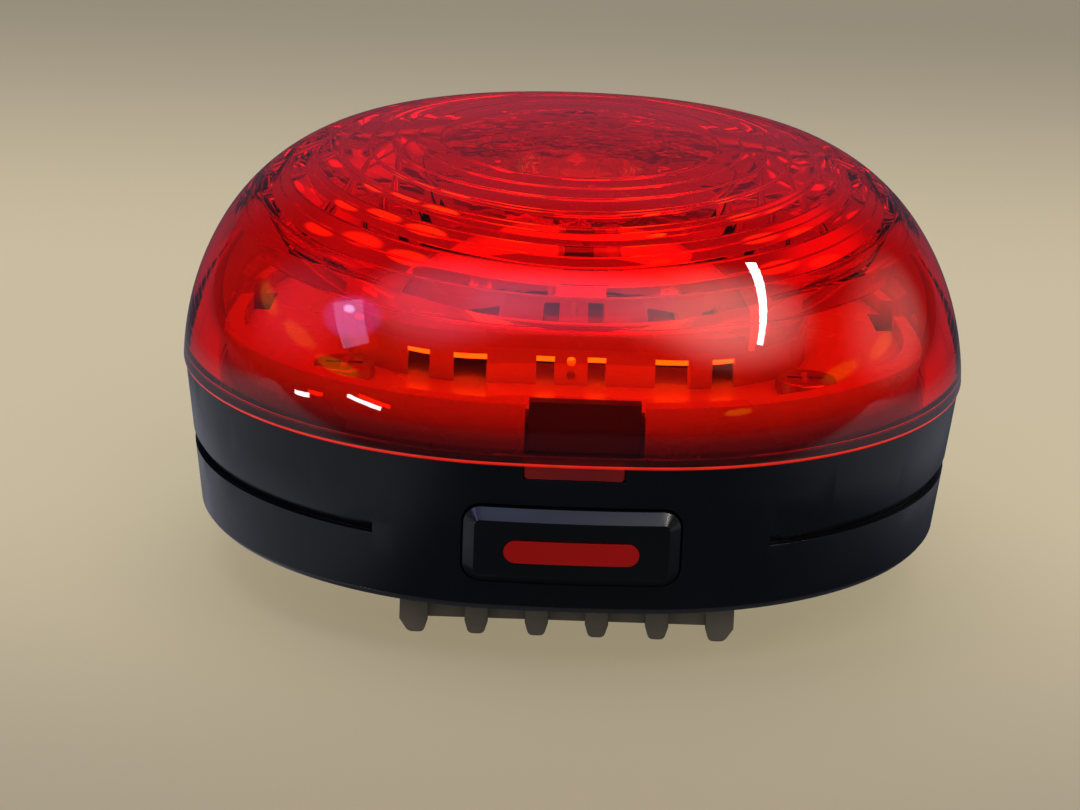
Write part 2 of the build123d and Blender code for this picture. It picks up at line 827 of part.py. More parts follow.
def make_tact_switch():
    body = block(switch_width, switch_depth, switch_height, 0, -(switch_y - switch_depth / 2), main_top)
    well = plunger_root + key_travel + plunger_clearance
    return body - block(plunger_width + 2 * plunger_clearance, well, plunger_height + 2 * plunger_clearance,
                        0, -(switch_y - well / 2), switch_z - plunger_height / 2 - plunger_clearance)


def make_switch_plunger():
    length = plunger_reach + plunger_root
    return block(plunger_width, length, plunger_height, 0,
                 -(switch_y + plunger_reach - length / 2), switch_z - plunger_height / 2)


def make_switch_holder():
    """A black bridge over the switch that takes the thumb's push. Its plate stands in the frame's notch."""
    roof = key_z + key_height / 2 + flange_top + holder_roof_gap
    front = body_half - frame_inset - frame_wall - holder_gap
    back = switch_y - switch_depth - holder_gap
    inner = switch_width + 2 * holder_gap
    bridge = block(inner + 2 * holder_wall, front - back, holder_wall, 0, -(front + back) / 2, roof)
    bridge = bridge + block(notch_width - 2 * holder_gap, holder_plate, frame_top - holder_gap - roof,
                            notch_place, -(front - holder_plate / 2), roof)
    for side in (-1, 1):
        bridge = bridge + block(holder_wall, switch_y - back, roof - main_top + holder_wall,
                                side * (inner + holder_wall) / 2, -(switch_y + back) / 2, main_top)
    return bridge + block(inner, holder_wall, roof - main_top - switch_height, 0,
                          -(back + holder_wall / 2), main_top + switch_height)


def make_charge_port():
    """The metal shell of the charging socket."""
    back = port_y - port_length
    shell = bar_y(port_width, port_height, port_corner, 0, port_z, port_y, back)
    bore = bar_y(port_width - 2 * port_metal, port_height - 2 * port_metal, port_corner - port_metal,
                 0, port_z, port_y, back + port_metal)
    return shell - bore


def make_port_tongue():
    return bar_y(tongue_width, tongue_thickness, tongue_round, 0, port_z, port_y - tongue_setback,
                 port_y - port_length + port_metal)


def make_port_flap():
    """A rubber flap with a short plug. It turns about the lower edge of its outer face."""
    skin = drafted(band_z, joint_z)
    flap = bar_y(flap_width, flap_height, flap_corner, 0, port_z, body_half, flap_floor) & skin
    plug = bar_y(plug_width, plug_height, plug_corner, 0, port_z, flap_floor, port_y - plug_length)
    lift = along_y(SlotOverall(lift_width, lift_height), 0, flap_high - lift_drop,
                   body_half, flap_floor + flap_thickness / 2)
    return flap + plug + (lift & drafted(band_z, joint_z, -lift_proud))


def make_flap_anchor():
    """The root that holds the flap's rubber hinge in the band."""
    root = block(anchor_width, flap_thickness + over, anchor_height + flap_clearance, 0,
                 flap_floor + (flap_thickness + over) / 2, flap_low - flap_clearance - anchor_height)
    return root & drafted(band_z, joint_z)


def save(name, shape):
    """Writes one piece, or a group of like pieces, to its own file."""
    if isinstance(shape, list):
        shape = Compound(children=[piece.solids()[0] for piece in shape])
    export_step(shape, f"parts/{name}.step")


os.makedirs("parts", exist_ok=True)
save("lens", make_lens())
save("housing", make_housing())
save("rear_cover", make_rear_cover())
save("cover_seal", make_cover_seal())
save("mount_pad", make_mount_pad())
save("cover_screws", make_cover_screws())
save("reflector_frame", make_reflector_frame())
save("frame_screws", make_frame_screws())
save("led_board", make_led_board())
save("reflector_cover", make_reflector_cover())
save("cover_plate_screws", make_cover_plate_screws())
save("side_leds", make_side_leds())
save("side_led_phosphors", make_side_phosphors())
save("centre_led", make_centre_led())
save("centre_optic", make_centre_optic())
save("driver_chip", make_driver_chip())
save("chip_components", make_chip_components())
save("link_header", make_link_header())
save("link_pins", make_link_pins())
save("main_board", make_main_board())
save("main_board_screws", make_main_board_screws())
save("battery_tape", make_battery_tape())
save("battery_cell", make_battery_cell())
save("battery_lead_positive", make_battery_lead(1))
save("battery_lead_negative", make_battery_lead(-1))
save("tact_switch", make_tact_switch())
save("switch_plunger", make_switch_plunger())
save("switch_holder", make_switch_holder())
save("button_key", make_button_key())
save("button_window", make_button_window())
save("charge_port", make_charge_port())
save("port_tongue", make_port_tongue())
save("port_flap", make_port_flap())
save("flap_anchor", make_flap_anchor())
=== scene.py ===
import bmesh
import bpy
import json
import numpy as np
from math import atan2, cos, pi, radians, sin, sqrt
from mathutils import Matrix, Vector


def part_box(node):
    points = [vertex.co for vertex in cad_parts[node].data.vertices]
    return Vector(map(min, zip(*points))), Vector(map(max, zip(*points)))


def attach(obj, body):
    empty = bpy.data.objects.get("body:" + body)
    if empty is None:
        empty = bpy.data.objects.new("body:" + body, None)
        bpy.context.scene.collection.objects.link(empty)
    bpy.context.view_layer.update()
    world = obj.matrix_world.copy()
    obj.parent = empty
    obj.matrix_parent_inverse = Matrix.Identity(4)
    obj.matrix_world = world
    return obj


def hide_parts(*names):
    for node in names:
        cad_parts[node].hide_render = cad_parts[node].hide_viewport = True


# A rechargeable bicycle tail light lying on its rubber pad, dome up.
# Metres, in the frame of the CAD model: +Z up, the button faces -Y, the charging port +Y.
# The dictionaries hold the values to change, in mm unless they say otherwise.
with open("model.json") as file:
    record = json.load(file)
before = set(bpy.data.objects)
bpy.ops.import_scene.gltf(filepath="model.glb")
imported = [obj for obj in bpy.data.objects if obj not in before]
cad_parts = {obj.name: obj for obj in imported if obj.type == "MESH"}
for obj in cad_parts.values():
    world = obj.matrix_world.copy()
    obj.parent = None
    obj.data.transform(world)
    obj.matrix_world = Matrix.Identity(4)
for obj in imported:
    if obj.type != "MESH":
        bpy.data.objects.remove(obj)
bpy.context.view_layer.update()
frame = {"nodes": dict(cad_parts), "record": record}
nodes = frame["nodes"]
mm = 0.001
bodyOf = {n: body for body, names in frame["record"]["behaviour"]["bodies"].items() for n in names}
print("frame loaded:", len(nodes), "pieces")


# Meshes and objects

quarterTurn = pi / 2
sharpAngle = 35              # degrees from which an edge is shaded as an edge
copies = {                   # how the nodes' own forms are taken over
    "weldGap": 0.0005,
    "flatAngle": 0.4,        # degrees up to which facets are one face
    "sharpAngle": 32,
}


def addObject(name, data):
    item = bpy.data.objects.new(name, data)
    bpy.context.scene.collection.objects.link(item)
    return item


def smooth(mesh, angle):
    mesh.polygons.foreach_set("use_smooth", [True] * len(mesh.polygons))
    mesh.set_sharp_from_angle(angle=radians(angle))


def newPiece(name, mesh, material=None, angle=sharpAngle):
    piece = addObject(name, mesh)
    smooth(mesh, angle)
    if material:
        mesh.materials.clear()
        mesh.materials.append(material)
    return piece


def standFor(piece, node):
    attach(piece, bodyOf[node])
    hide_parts(node)


def plainMesh(piece):
    # applies the piece's modifiers and drops them
    graph = bpy.context.evaluated_depsgraph_get()
    mesh = bpy.data.meshes.new_from_object(piece.evaluated_get(graph))
    piece.modifiers.clear()
    piece.data = mesh


def meshFrom(bm, name):
    mesh = bpy.data.meshes.new(name)
    bm.to_mesh(mesh)
    bm.free()
    return mesh


def ringMesh(name, rings):
    # rings of equally many points, joined by quads and capped at the ends. One point is a pole.
    bm = bmesh.new()
    rows = [[bm.verts.new(p) for p in ring] for ring in rings]
    for low, high in zip(rows, rows[1:]):
        count = max(len(low), len(high))
        for i in range(count):
            j = (i + 1) % count
            if len(high) == 1:
                bm.faces.new((low[i], low[j], high[0]))
            elif len(low) == 1:
                bm.faces.new((low[0], high[j], high[i]))
            else:
                bm.faces.new((low[i], low[j], high[j], high[i]))
    for row in (rows[0], rows[-1]):
        if len(row) > 2:
            bm.faces.new(row)
    bmesh.ops.recalc_face_normals(bm, faces=bm.faces)
    return meshFrom(bm, name)


def level(flat, z):
    # the points of flat, all at height z
    return np.column_stack([flat, np.full(len(flat), z)])


def turnedRings(profile, sides):
    # rings in metres of a turned shape, from its r and z in mm
    turns = np.linspace(0, 2 * pi, sides, endpoint=False)
    return [[(r * mm * cos(a), r * mm * sin(a), z * mm) for a in turns] if r else [(0, 0, z * mm)]
            for r, z in profile]


def roundBox(halfX, halfY, corner, turns, inset=0.0):
    # x and y of a box's outline with round corners, drawn in by inset
    points = []
    for quarter in range(4):
        centre = np.array([(halfX - corner) * (1 if quarter in (0, 3) else -1),
                           (halfY - corner) * (1 if quarter < 2 else -1)])
        for turn in turns:
            angle = quarter * quarterTurn + turn
            points.append(centre + (corner - inset) * np.array([cos(angle), sin(angle)]))
    return np.array(points)


def roundedCorner(before, corner, after, radius, count=3):
    # count points of a small round that takes the place of a corner between two lines
    toBefore = (before - corner) / np.linalg.norm(before - corner)
    toAfter = (after - corner) / np.linalg.norm(after - corner)
    return [corner + toBefore * radius * (1 - t) ** 2 + toAfter * radius * t ** 2
            for t in np.linspace(0, 1, count)]


def softCopy(node, name, finish, bevel, segments, slot):
    # the node's own form with its facets merged, its faces smoothed and its edges rounded
    bm = bmesh.new()
    bm.from_mesh(nodes[node].data)
    bmesh.ops.remove_doubles(bm, verts=bm.verts, dist=copies["weldGap"] * mm)
    bmesh.ops.dissolve_limit(bm, angle_limit=radians(copies["flatAngle"]), verts=bm.verts,
                             edges=bm.edges)
    piece = newPiece(name, meshFrom(bm, name), materials[finish], copies["sharpAngle"])
    cut = piece.modifiers.new("edges", "BEVEL")
    cut.width = bevel * mm
    cut.segments = segments
    cut.limit_method = "ANGLE"
    cut.angle_limit = radians(copies["sharpAngle"])
    cut.use_clamp_overlap = True
    cut.harden_normals = True
    plainMesh(piece)
    standFor(piece, node)


# Node trees

def addNode(tree, kind, values=None):
    # A node with its settings, and its inputs as plain values or as what feeds them: a socket, or a node,
    # which stands for its first output
    node = tree.nodes.new(kind)
    for key, value in (values or {}).items():
        if isinstance(value, bpy.types.Node):
            value = value.outputs[0]
        if isinstance(value, bpy.types.NodeSocket):
            tree.links.new(value, node.inputs[key])
        elif isinstance(key, int) or key in node.inputs.keys():
            node.inputs[key].default_value = value
        else:
            setattr(node, key, value)
    return node


def newTree(name, **inputs):
    # an empty Geometry Nodes tree with named inputs
    tree = bpy.data.node_groups.new(name, "GeometryNodeTree")
    for label, kind in (("Geometry", "Geometry"), *inputs.items(), ("Finish", "Material")):
        tree.interface.new_socket(label, in_out="INPUT", socket_type="NodeSocket" + kind)
    tree.interface.new_socket("Geometry", in_out="OUTPUT", socket_type="NodeSocketGeometry")
    return tree, addNode(tree, "NodeGroupInput").outputs


def endTree(tree, points, given, **links):
    # one copy of the geometry on each point, made into real faces, which take their finish
    copied = addNode(tree, "GeometryNodeInstanceOnPoints", {
        "Points": points, "Instance": given["Geometry"], **links})
    real = addNode(tree, "GeometryNodeRealizeInstances", {"Geometry": copied})
    dressed = addNode(tree, "GeometryNodeSetMaterial", {"Geometry": real, "Material": given["Finish"]})
    addNode(tree, "NodeGroupOutput", {"Geometry": dressed})
    return tree


def grow(name, mesh, tree, values):
    # runs a tree on one mesh and keeps the result as a plain mesh
    piece = addObject(name, mesh)
    modifier = piece.modifiers.new("grow", "NODES")
    modifier.node_group = tree
    for item in tree.interface.items_tree:
        if item.in_out == "INPUT" and item.name in values:
            modifier[item.identifier] = values[item.name]
    plainMesh(piece)
    smooth(piece.data, sharpAngle)
    return piece


# Materials

def hexColour(code):
    # sRGB hex to the linear values that a shader wants
    parts = [int(code[i:i + 2], 16) / 255 for i in (1, 3, 5)]
    linear = [p / 12.92 if p <= 0.04045 else ((p + 0.055) / 1.055) ** 2.4 for p in parts]
    return (*linear, 1.0)


def newMaterial(name, values):
    # a material, its tree and its shader, with uniform values on the shader's own sockets
    material = bpy.data.materials.new(name)
    material.use_nodes = True
    tree = material.node_tree
    shader = tree.nodes["Principled BSDF"]
    for socket, value in values.items():
        shader.inputs[socket].default_value = value
    return material, tree, shader


def passShadows(tree, shader, share):
    # a clear piece lets this share of a lamp's light through to what lies behind it
    shadow = addNode(tree, "ShaderNodeLightPath").outputs["Is Shadow Ray"]
    clear = addNode(tree, "ShaderNodeBsdfTransparent", {"Color": (share, share, share, 1)})
    mix = addNode(tree, "ShaderNodeMixShader", {0: shadow, 1: shader, 2: clear})
    tree.links.new(mix.outputs[0], tree.nodes["Material Output"].inputs["Surface"])


def flatness(tree):
    # 0 on upright faces, 1 on level ones
    normal = addNode(tree, "ShaderNodeNewGeometry").outputs["Normal"]
    upward = addNode(tree, "ShaderNodeSeparateXYZ", {0: normal}).outputs["Z"]
    return addNode(tree, "ShaderNodeMath", {"operation": "ABSOLUTE", 0: upward})


# Outline of the body: four bowed sides and four round corners
body = {
    "half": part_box("lens")[1].x / mm,
    "sideRadius": 60.0,
    "cornerRadius": 19.5,
    "sideSteps": 40,
    "cornerSteps": 36,
}
sideCentre = body["sideRadius"] - body["half"]
cornerReach = body["sideRadius"] - body["cornerRadius"]
cornerPlace = (sqrt(2 * cornerReach ** 2 - sideCentre ** 2) - sideCentre) / 2
meetAngle = atan2(cornerPlace, cornerPlace + sideCentre)


def outlineAngles():
    # directions that the outline faces, evenly spaced along each arc
    angles = []
    for quarter in range(4):
        middle = quarter * quarterTurn
        angles += list(np.linspace(middle - meetAngle, middle + meetAngle, body["sideSteps"], endpoint=False))
        angles += list(np.linspace(middle + meetAngle, middle + quarterTurn - meetAngle,
                                   body["cornerSteps"], endpoint=False))
    return np.array(angles)


def outlinePoints(angles, inset):
    # x and y of the outline drawn in by inset
    side = np.round(angles / quarterTurn) * quarterTurn
    onSide = np.abs(angles - side) <= meetAngle + 1e-9
    corner = np.floor(angles / quarterTurn) * quarterTurn + pi / 4
    centreX = np.where(onSide, -sideCentre * np.cos(side), cornerPlace * sqrt(2) * np.cos(corner))
    centreY = np.where(onSide, -sideCentre * np.sin(side), cornerPlace * sqrt(2) * np.sin(corner))
    radius = np.where(onSide, body["sideRadius"], body["cornerRadius"]) - inset
    return np.stack([centreX + radius * np.cos(angles), centreY + radius * np.sin(angles)], axis=1)


# Red dome: a spherical crown, a wide shoulder and round steps moulded under it
dome = {
    "height": 13.3,          # from the joint to the top
    "crownRadius": 75.0,
    "shoulderRadius": 12.5,
    "wall": 2.0,
    "rimRound": 0.22,
    "weldStart": 0.9,        # from the side to the weld in the foot
    "weldEnd": 0.12,         # from the weld to the wall's inner face
    "stepStart": 7.8,        # radius of the first step
    "stepPitch": 1.33,
    "stepCount": 8,
    "stepLand": 0.15,
    "stepEdge": 0.07,        # round at the steps' edges
    "stepFlank": 1.35,       # loops this much further out keep treads and risers flat in the shading
    "middle": 0.4,           # radius of the innermost ring
    "ringGap": 0.02,         # of rings on both sides of an edge
    "crownRings": 34,
    "shoulderRings": 40,
    "shoulderShares": (0.99, 0.02),   # from the crown to the rim
    "rimRings": 6,
    "wallRings": 36,
    "wallShares": (0.002, 1.9),   # part of the inner profile where the wall's end is looked for
    "wallSamples": 900,
    "middleRings": 16,
    "sharpAngle": 40,        # degrees
    "frostHeight": 0.9,      # share of the rim's round that is frosted
    "footFacing": -0.98,     # z of the normals of the welded foot
}
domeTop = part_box("lens")[1].z / mm
jointZ = domeTop - dome["height"]
crownCentre = domeTop - dome["crownRadius"]
domeBall = dome["crownRadius"] - dome["shoulderRadius"]


def domeProfile(angles, inset, shares):
    # Points of the dome's skin drawn in by inset: shares 0 to 1 climb the shoulder, 1 to 2 cross the crown
    foot = outlinePoints(angles, dome["shoulderRadius"])
    height = np.sqrt(domeBall ** 2 - (foot ** 2).sum(axis=1))
    edge = np.column_stack([foot, crownCentre + height])
    out = level(np.column_stack([np.cos(angles), np.sin(angles)]), 0.0)
    up = np.column_stack([foot, height]) / domeBall
    lean = (up * out).sum(axis=1)
    rise = up - lean[:, None] * out
    rise /= np.linalg.norm(rise, axis=1)[:, None]
    radius = dome["shoulderRadius"] - inset
    first = np.arcsin(np.clip((jointZ - edge[:, 2]) / (radius * rise[:, 2]), -1, 1))
    last = np.arccos(lean)
    rows = []
    for share in shares:
        if share <= 1:
            turn = (first + (last - first) * share)[:, None]
            rows.append(edge + radius * (np.cos(turn) * out + np.sin(turn) * rise))
        else:
            tilt = np.arccos(up[:, 2]) * (2 - share)
            flat = foot / np.linalg.norm(foot, axis=1)[:, None]
            sphere = np.column_stack([np.sin(tilt)[:, None] * flat, np.cos(tilt)])
            rows.append(np.array([0, 0, crownCentre]) + (dome["crownRadius"] - inset) * sphere)
    return rows


def innerHeight(r):
    # height of the dome's inner face at distance r, in the section through X
    shoulderX = body["half"] - dome["shoulderRadius"]
    contact = shoulderX * (dome["crownRadius"] - dome["wall"]) / domeBall
    if r < contact:
        return crownCentre + sqrt((dome["crownRadius"] - dome["wall"]) ** 2 - r ** 2)
    shoulderZ = crownCentre + sqrt(domeBall ** 2 - shoulderX ** 2)
    return shoulderZ + sqrt((dome["shoulderRadius"] - dome["wall"]) ** 2 - (r - shoulderX) ** 2)


def stepProfile():
    # r and z of the steps, from the outermost tread's start and then to the first riser, edges rounded
    corners = []
    for i in reversed(range(dome["stepCount"])):
        start = dome["stepStart"] + i * dome["stepPitch"]
        end = start + dome["stepPitch"]
        tread = innerHeight(end) - dome["stepLand"]
        corners += [(end, tread), (start, tread)]
    corners.append((dome["stepStart"], innerHeight(dome["stepStart"])))
    corners = [np.array(c) for c in corners]
    flank = dome["stepFlank"]
    points = []
    for before, corner, after in zip(corners, corners[1:], corners[2:]):
        soft = roundedCorner(before, corner, after, dome["stepEdge"])
        points += [corner + (soft[0] - corner) * flank, *soft, corner + (soft[-1] - corner) * flank]
    return corners[0], points


def wallRings(angles, last):
    # the wall's inner face, from the joint up to the round of radius last where the steps start
    fine = np.linspace(*dome["wallShares"], dome["wallSamples"])
    rows = np.array(domeProfile(angles, dome["wall"], fine))
    far = np.linalg.norm(rows[:, :, :2], axis=2)
    stop = np.array([np.interp(-last, -far[:, i], fine) for i in range(len(angles))])
    rings = []
    for share in np.linspace(0, 1, dome["wallRings"]):
        place = fine[0] + (stop - fine[0]) * share
        rings.append(np.stack([np.array([np.interp(place[i], fine, rows[:, i, k]) for k in range(3)])
                               for i in range(len(angles))]))
    return rings


def lensRings():
    angles = outlineAngles()
    # outside, from the pole down to the rounded rim
    crown = 1 + np.linspace(0, 1, dome["crownRings"])
    rings = [np.array([[0, 0, domeTop]]), *domeProfile(angles, 0.0, crown[::-1])[1:]]
    rings += domeProfile(angles, 0.0, np.linspace(*dome["shoulderShares"], dome["shoulderRings"]))
    rim = dome["rimRound"]
    for turn in np.radians(np.linspace(90, 0, dome["rimRings"])):
        rings.append(level(outlinePoints(angles, rim * (1 - sin(turn))),
                           jointZ + rim * (1 - cos(turn))))
    # the foot, then inside from the joint up to the steps
    for inset in (dome["weldStart"], dome["wall"] - dome["weldEnd"]):
        rings.append(level(outlinePoints(angles, inset), jointZ))
    last = dome["stepStart"] + dome["stepCount"] * dome["stepPitch"]
    rings += wallRings(angles, last)
    around = np.arctan2(rings[-1][:, 1], rings[-1][:, 0])
    circle = np.column_stack([np.cos(around), np.sin(around)])
    start, points = stepProfile()
    soft, gap = dome["stepEdge"], dome["ringGap"]
    section = [(last, start[1] + soft), (last - gap, start[1] + gap), (last - soft, start[1]), *points]
    section += [(r, innerHeight(r))
                for r in np.linspace(dome["stepStart"] - gap, dome["middle"], dome["middleRings"])]
    rings += [level(r * circle, z) for r, z in section]
    rings.append(np.array([[0, 0, innerHeight(0)]]))
    return rings


clearRed = {
    "roughness": 0.015,
    "ior": 1.585,
    "tint": (0.9988, 0.55, 0.1, 1),   # what the plastic lets through of red, green and blue
    "density": 2500.0,                # per metre
    "lampShare": 0.6,
    "ripple": {"spacing": 1.5, "detail": 1.5, "height": 0.03},
    "rippleFade": (5.0, dome["stepStart"]),   # distance from the middle
}
frosting = {"roughness": 0.32, "spacing": 1.5, "detail": 3.0}
frostedRedsPaintedGlow = {              # colour of the dark and of the bright patches, strength of the painted glow
    "frostedRedPaintedGlow": ("#c4140c", "#ff2a14", 0.3),     # the rim: a soft red line of painted glow
    "weldedRedPaintedGlow": ("#d81c10", "#ff3018", 1.35),     # the foot: a painted glow, bright at the weld
    "satinRedPolycarbonate": ("#5c0308", "#74050a", 0.04),      # the key: dark and dull, with a faint painted glow
}


def redPolycarbonate():
    # polished clear red polycarbonate: colour comes from the thickness that light crosses
    material, tree, shader = newMaterial("redPolycarbonate", {
        "Base Color": (1, 1, 1, 1), "Roughness": clearRed["roughness"], "IOR": clearRed["ior"],
        "Transmission Weight": 1.0})
    # only the crown's middle is slightly uneven, as where the plastic met in the mould
    ripple = clearRed["ripple"]
    start, end = clearRed["rippleFade"]
    place = addNode(tree, "ShaderNodeTexCoord").outputs["Object"]
    flat = addNode(tree, "ShaderNodeVectorMath", {"operation": "MULTIPLY", 0: place, 1: (1, 1, 0)})
    far = addNode(tree, "ShaderNodeVectorMath", {"operation": "LENGTH", 0: flat}).outputs["Value"]
    crown = addNode(tree, "ShaderNodeMapRange", {
        "Value": far, "From Min": start * mm, "From Max": end * mm, "To Min": 1.0, "To Max": 0.0})
    wave = addNode(tree, "ShaderNodeTexNoise", {
        "Vector": place, "Scale": 1 / (ripple["spacing"] * mm), "Detail": ripple["detail"]})
    height = addNode(tree, "ShaderNodeMath", {"operation": "MULTIPLY", 0: wave, 1: crown})
    bump = addNode(tree, "ShaderNodeBump", {"Height": height, "Distance": ripple["height"] * mm})
    tree.links.new(bump.outputs[0], shader.inputs["Normal"])
    passShadows(tree, shader, clearRed["lampShare"])
    volume = addNode(tree, "ShaderNodeVolumeAbsorption", {
        "Color": clearRed["tint"], "Density": clearRed["density"]})
    tree.links.new(volume.outputs[0], tree.nodes["Material Output"].inputs["Volume"])
    return material


def frostedRed(name):
    # the same plastic where it is frosted, with a painted glow that stands in for the light the wall guides out
    # here
    dark, bright, glow = frostedRedsPaintedGlow[name]
    material, tree, shader = newMaterial(name, {
        "Roughness": frosting["roughness"], "IOR": clearRed["ior"], "Emission Strength": glow})
    cloud = addNode(tree, "ShaderNodeTexNoise", {
        "Vector": addNode(tree, "ShaderNodeTexCoord").outputs["Object"],
        "Scale": 1 / (frosting["spacing"] * mm), "Detail": frosting["detail"]})
    tint = addNode(tree, "ShaderNodeMix", {
        "data_type": "RGBA", 0: cloud, 6: hexColour(dark), 7: hexColour(bright)}).outputs[2]
    for socket in ("Base Color", "Emission Color"):
        tree.links.new(tint, shader.inputs[socket])
    return material


band = {
    "step": 0.12,            # inside the outline at the joint
    "taper": 1.05,           # further in at the foot
    "lowZ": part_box("housing")[0].z / mm,
}
tab = {"width": 5.4, "height": 0.7, "thickness": 0.65, "edge": 0.12, "gap": 0.01}   # the gap is over it


def skinInset(z):
    # how far the tapering band lies inside the outline at height z
    return band["step"] + band["taper"] * (jointZ - z) / (jointZ - band["lowZ"])


def sideSag(x):
    # how far the bowed side falls back at distance x from its middle
    return body["sideRadius"] - sqrt(body["sideRadius"] ** 2 - x ** 2)


def tabMesh():
    # the key under the front of the rim: its face follows the band, its lower edge is rounded
    half, low, edge = tab["width"] / 2, -tab["height"], tab["edge"]
    section = ((-half, -tab["gap"]), (-half, low + edge), (-half + edge, low), (half - edge, low),
               (half, low + edge), (half, -tab["gap"]))
    rings = []
    for back in (0.0, edge * 0.5, tab["thickness"]):
        draw = 0 if back else edge * 0.5 / half
        rings.append([(x * (1 - draw) * mm,
                       (-(body["half"] - skinInset(jointZ + z) - sideSag(x)) + back) * mm,
                       (jointZ + z) * mm) for x, z in section])
    return ringMesh("lens_tab", rings)


def makeLens():
    rim, foot, key = (frostedRed(name) for name in frostedRedsPaintedGlow)
    mesh = ringMesh("lens_dome", [ring * mm for ring in lensRings()])
    piece = newPiece("lens_dome", mesh, redPolycarbonate(), dome["sharpAngle"])
    for finish in (rim, foot):
        mesh.materials.append(finish)
    # the rim's round is frosted, and the foot under it, which faces down, is welded
    for face in mesh.polygons:
        if face.center.z < (jointZ + dome["frostHeight"] * dome["rimRound"]) * mm:
            face.material_index = 2 if face.normal.z < dome["footFacing"] else 1
    standFor(piece, "lens")
    standFor(newPiece("lens_tab", tabMesh(), key, dome["sharpAngle"]), "lens")
    return len(mesh.polygons)


print("dome modelled:", makeLens(), "faces")

# Finishes of the moulded, rubber and laminate pieces: colour, roughness, how far that wanders, the
# spacing and the height of the tool's grain, index of refraction. The comment says what the eye gets.
finishes = {
    "blackAbs": ("#08090e", 0.3, 0.07, 0.12, 0.0012, 1.45),               # deep satin black, soft streaks
    "darkPolycarbonate": ("#222326", 0.2, 0.05, 0.6, 0.001, 1.58),        # glossy dark grey
    "padRubber": ("#5c5a56", 0.62, 0.1, 0.25, 0.006, 1.5),                # dusty matt grey
    "siliconeSeal": ("#1a1a1a", 0.5, 0.05, 0.3, 0.002, 1.43),             # dull black ring
    "keyElastomer": ("#07080a", 0.3, 0.08, 0.1, 0.0012, 1.5),             # satin black with soft highlights
    "shadedWhitePolycarbonate": ("#dcd8d0", 0.28, 0.05, 0.4, 0.002, 1.58),     # warm white, its wall in shade
    "polishedWhitePolycarbonate": ("#dcd8d0", 0.28, 0.05, 0.4, 0.002, 1.58),   # the same under a hard gloss
    "lampBoardLaminate": ("#d9d8d0", 0.35, 0.05, 0.2, 0.002, 1.55),       # white board, amber cut edges with a painted glow
    "greenSolderMask": ("#1d4a2c", 0.3, 0.05, 0.3, 0.002, 1.55),          # smooth dark green board
    "ledCeramic": ("#efece2", 0.4, 0.05, 0.15, 0.001, 1.6),               # milky walls with a painted yellow glow
    "yellowPhosphor": ("#f2c230", 0.35, 0.05, 0.1, 0.002, 1.5),           # yellow, with a painted glow
    "blackEpoxy": ("#17171a", 0.42, 0.06, 0.05, 0.001, 1.55),             # dull black chip
    "chipCeramic": ("#8a5f3c", 0.45, 0.06, 0.1, 0.001, 1.6),              # fired brown
    "blackNylon": ("#151515", 0.45, 0.06, 0.15, 0.002, 1.53),             # dull black
    "foamTape": ("#2c2c2c", 0.85, 0.08, 0.4, 0.03, 1.45),                 # open-pored, without a highlight
    "redSilicone": ("#c8100a", 0.4, 0.05, 0.3, 0.002, 1.43),              # bright red wire
    "redWindowSilicone": ("#98080a", 0.4, 0.05, 0.3, 0.002, 1.43),        # deep red bar with hardly a highlight
    "blackSilicone": ("#161616", 0.45, 0.05, 0.3, 0.002, 1.43),           # black wire
    "flapRubber": ("#1a1b1d", 0.5, 0.08, 0.15, 0.003, 1.5),               # soft black
}
moulding = {
    "grainDetail": 2.0,
    "patchSpacing": 6.0,
    "patchDetail": 3.0,
    "patchRange": (0.3, 0.7),   # of the noise
    "patchDark": 0.82,       # colour of the darkest patches as a share of the colour
}
shaderValues = {
    # painted glows on the lamps' packages and gel
    "yellowPhosphor": {"Emission Color": hexColour("#ffb81c"), "Emission Strength": 1.5},
    "ledCeramic": {"Emission Color": hexColour("#fff07a"), "Emission Strength": 0.8},
    "polishedWhitePolycarbonate": {"Coat Weight": 1.0, "Coat Roughness": 0.04, "Coat IOR": 2.2},
    "redWindowSilicone": {"Specular IOR Level": 0.2},
    "lampBoardLaminate": {"Emission Strength": 4.0},   # painted glow, at the cut edges only
}
trayShade = {
    "foot": jointZ + 0.1,
    "top": jointZ + 3.0,
    "colour": "#4c4842",
    "wallFlatness": (0.3, 0.7),   # a face is wall below the first, and not above the second
}
# the amber of the board's cut edges, and the colour of their painted glow
boardEdge = {"flatness": 0.5, "colour": "#d8922e", "glow": "#ffb43c"}


def mouldedFinish(name):
    # a plastic or rubber with its tool's fine grain, uneven gloss and a slight drift of colour
    colour, roughness, spread, grain, height, ior = finishes[name]
    material, tree, shader = newMaterial(name, {"IOR": ior, **shaderValues.get(name, {})})
    place = addNode(tree, "ShaderNodeTexCoord").outputs["Object"]
    fine = addNode(tree, "ShaderNodeTexNoise", {
        "Vector": place, "Scale": 1 / (grain * mm), "Detail": moulding["grainDetail"]})
    bump = addNode(tree, "ShaderNodeBump", {"Height": fine, "Distance": height * mm})
    tree.links.new(bump.outputs[0], shader.inputs["Normal"])
    patches = addNode(tree, "ShaderNodeTexNoise", {
        "Vector": place, "Scale": 1 / (moulding["patchSpacing"] * mm), "Detail": moulding["patchDetail"]})
    low, high = moulding["patchRange"]
    gloss = addNode(tree, "ShaderNodeMapRange", {
        "Value": patches, "From Min": low, "From Max": high,
        "To Min": roughness - spread, "To Max": roughness + spread})
    tree.links.new(gloss.outputs[0], shader.inputs["Roughness"])
    bright = hexColour(colour)
    dark = (*(part * moulding["patchDark"] for part in bright[:3]), 1.0)
    tint = addNode(tree, "ShaderNodeMix", {
        "data_type": "RGBA", 0: patches, 6: dark, 7: bright}).outputs[2]
    if name == "shadedWhitePolycarbonate":
        tint = shadedWall(tree, tint)
    elif name == "lampBoardLaminate":
        tint = cutEdgePaintedGlow(tree, shader, tint)
    tree.links.new(tint, shader.inputs["Base Color"])
    return material


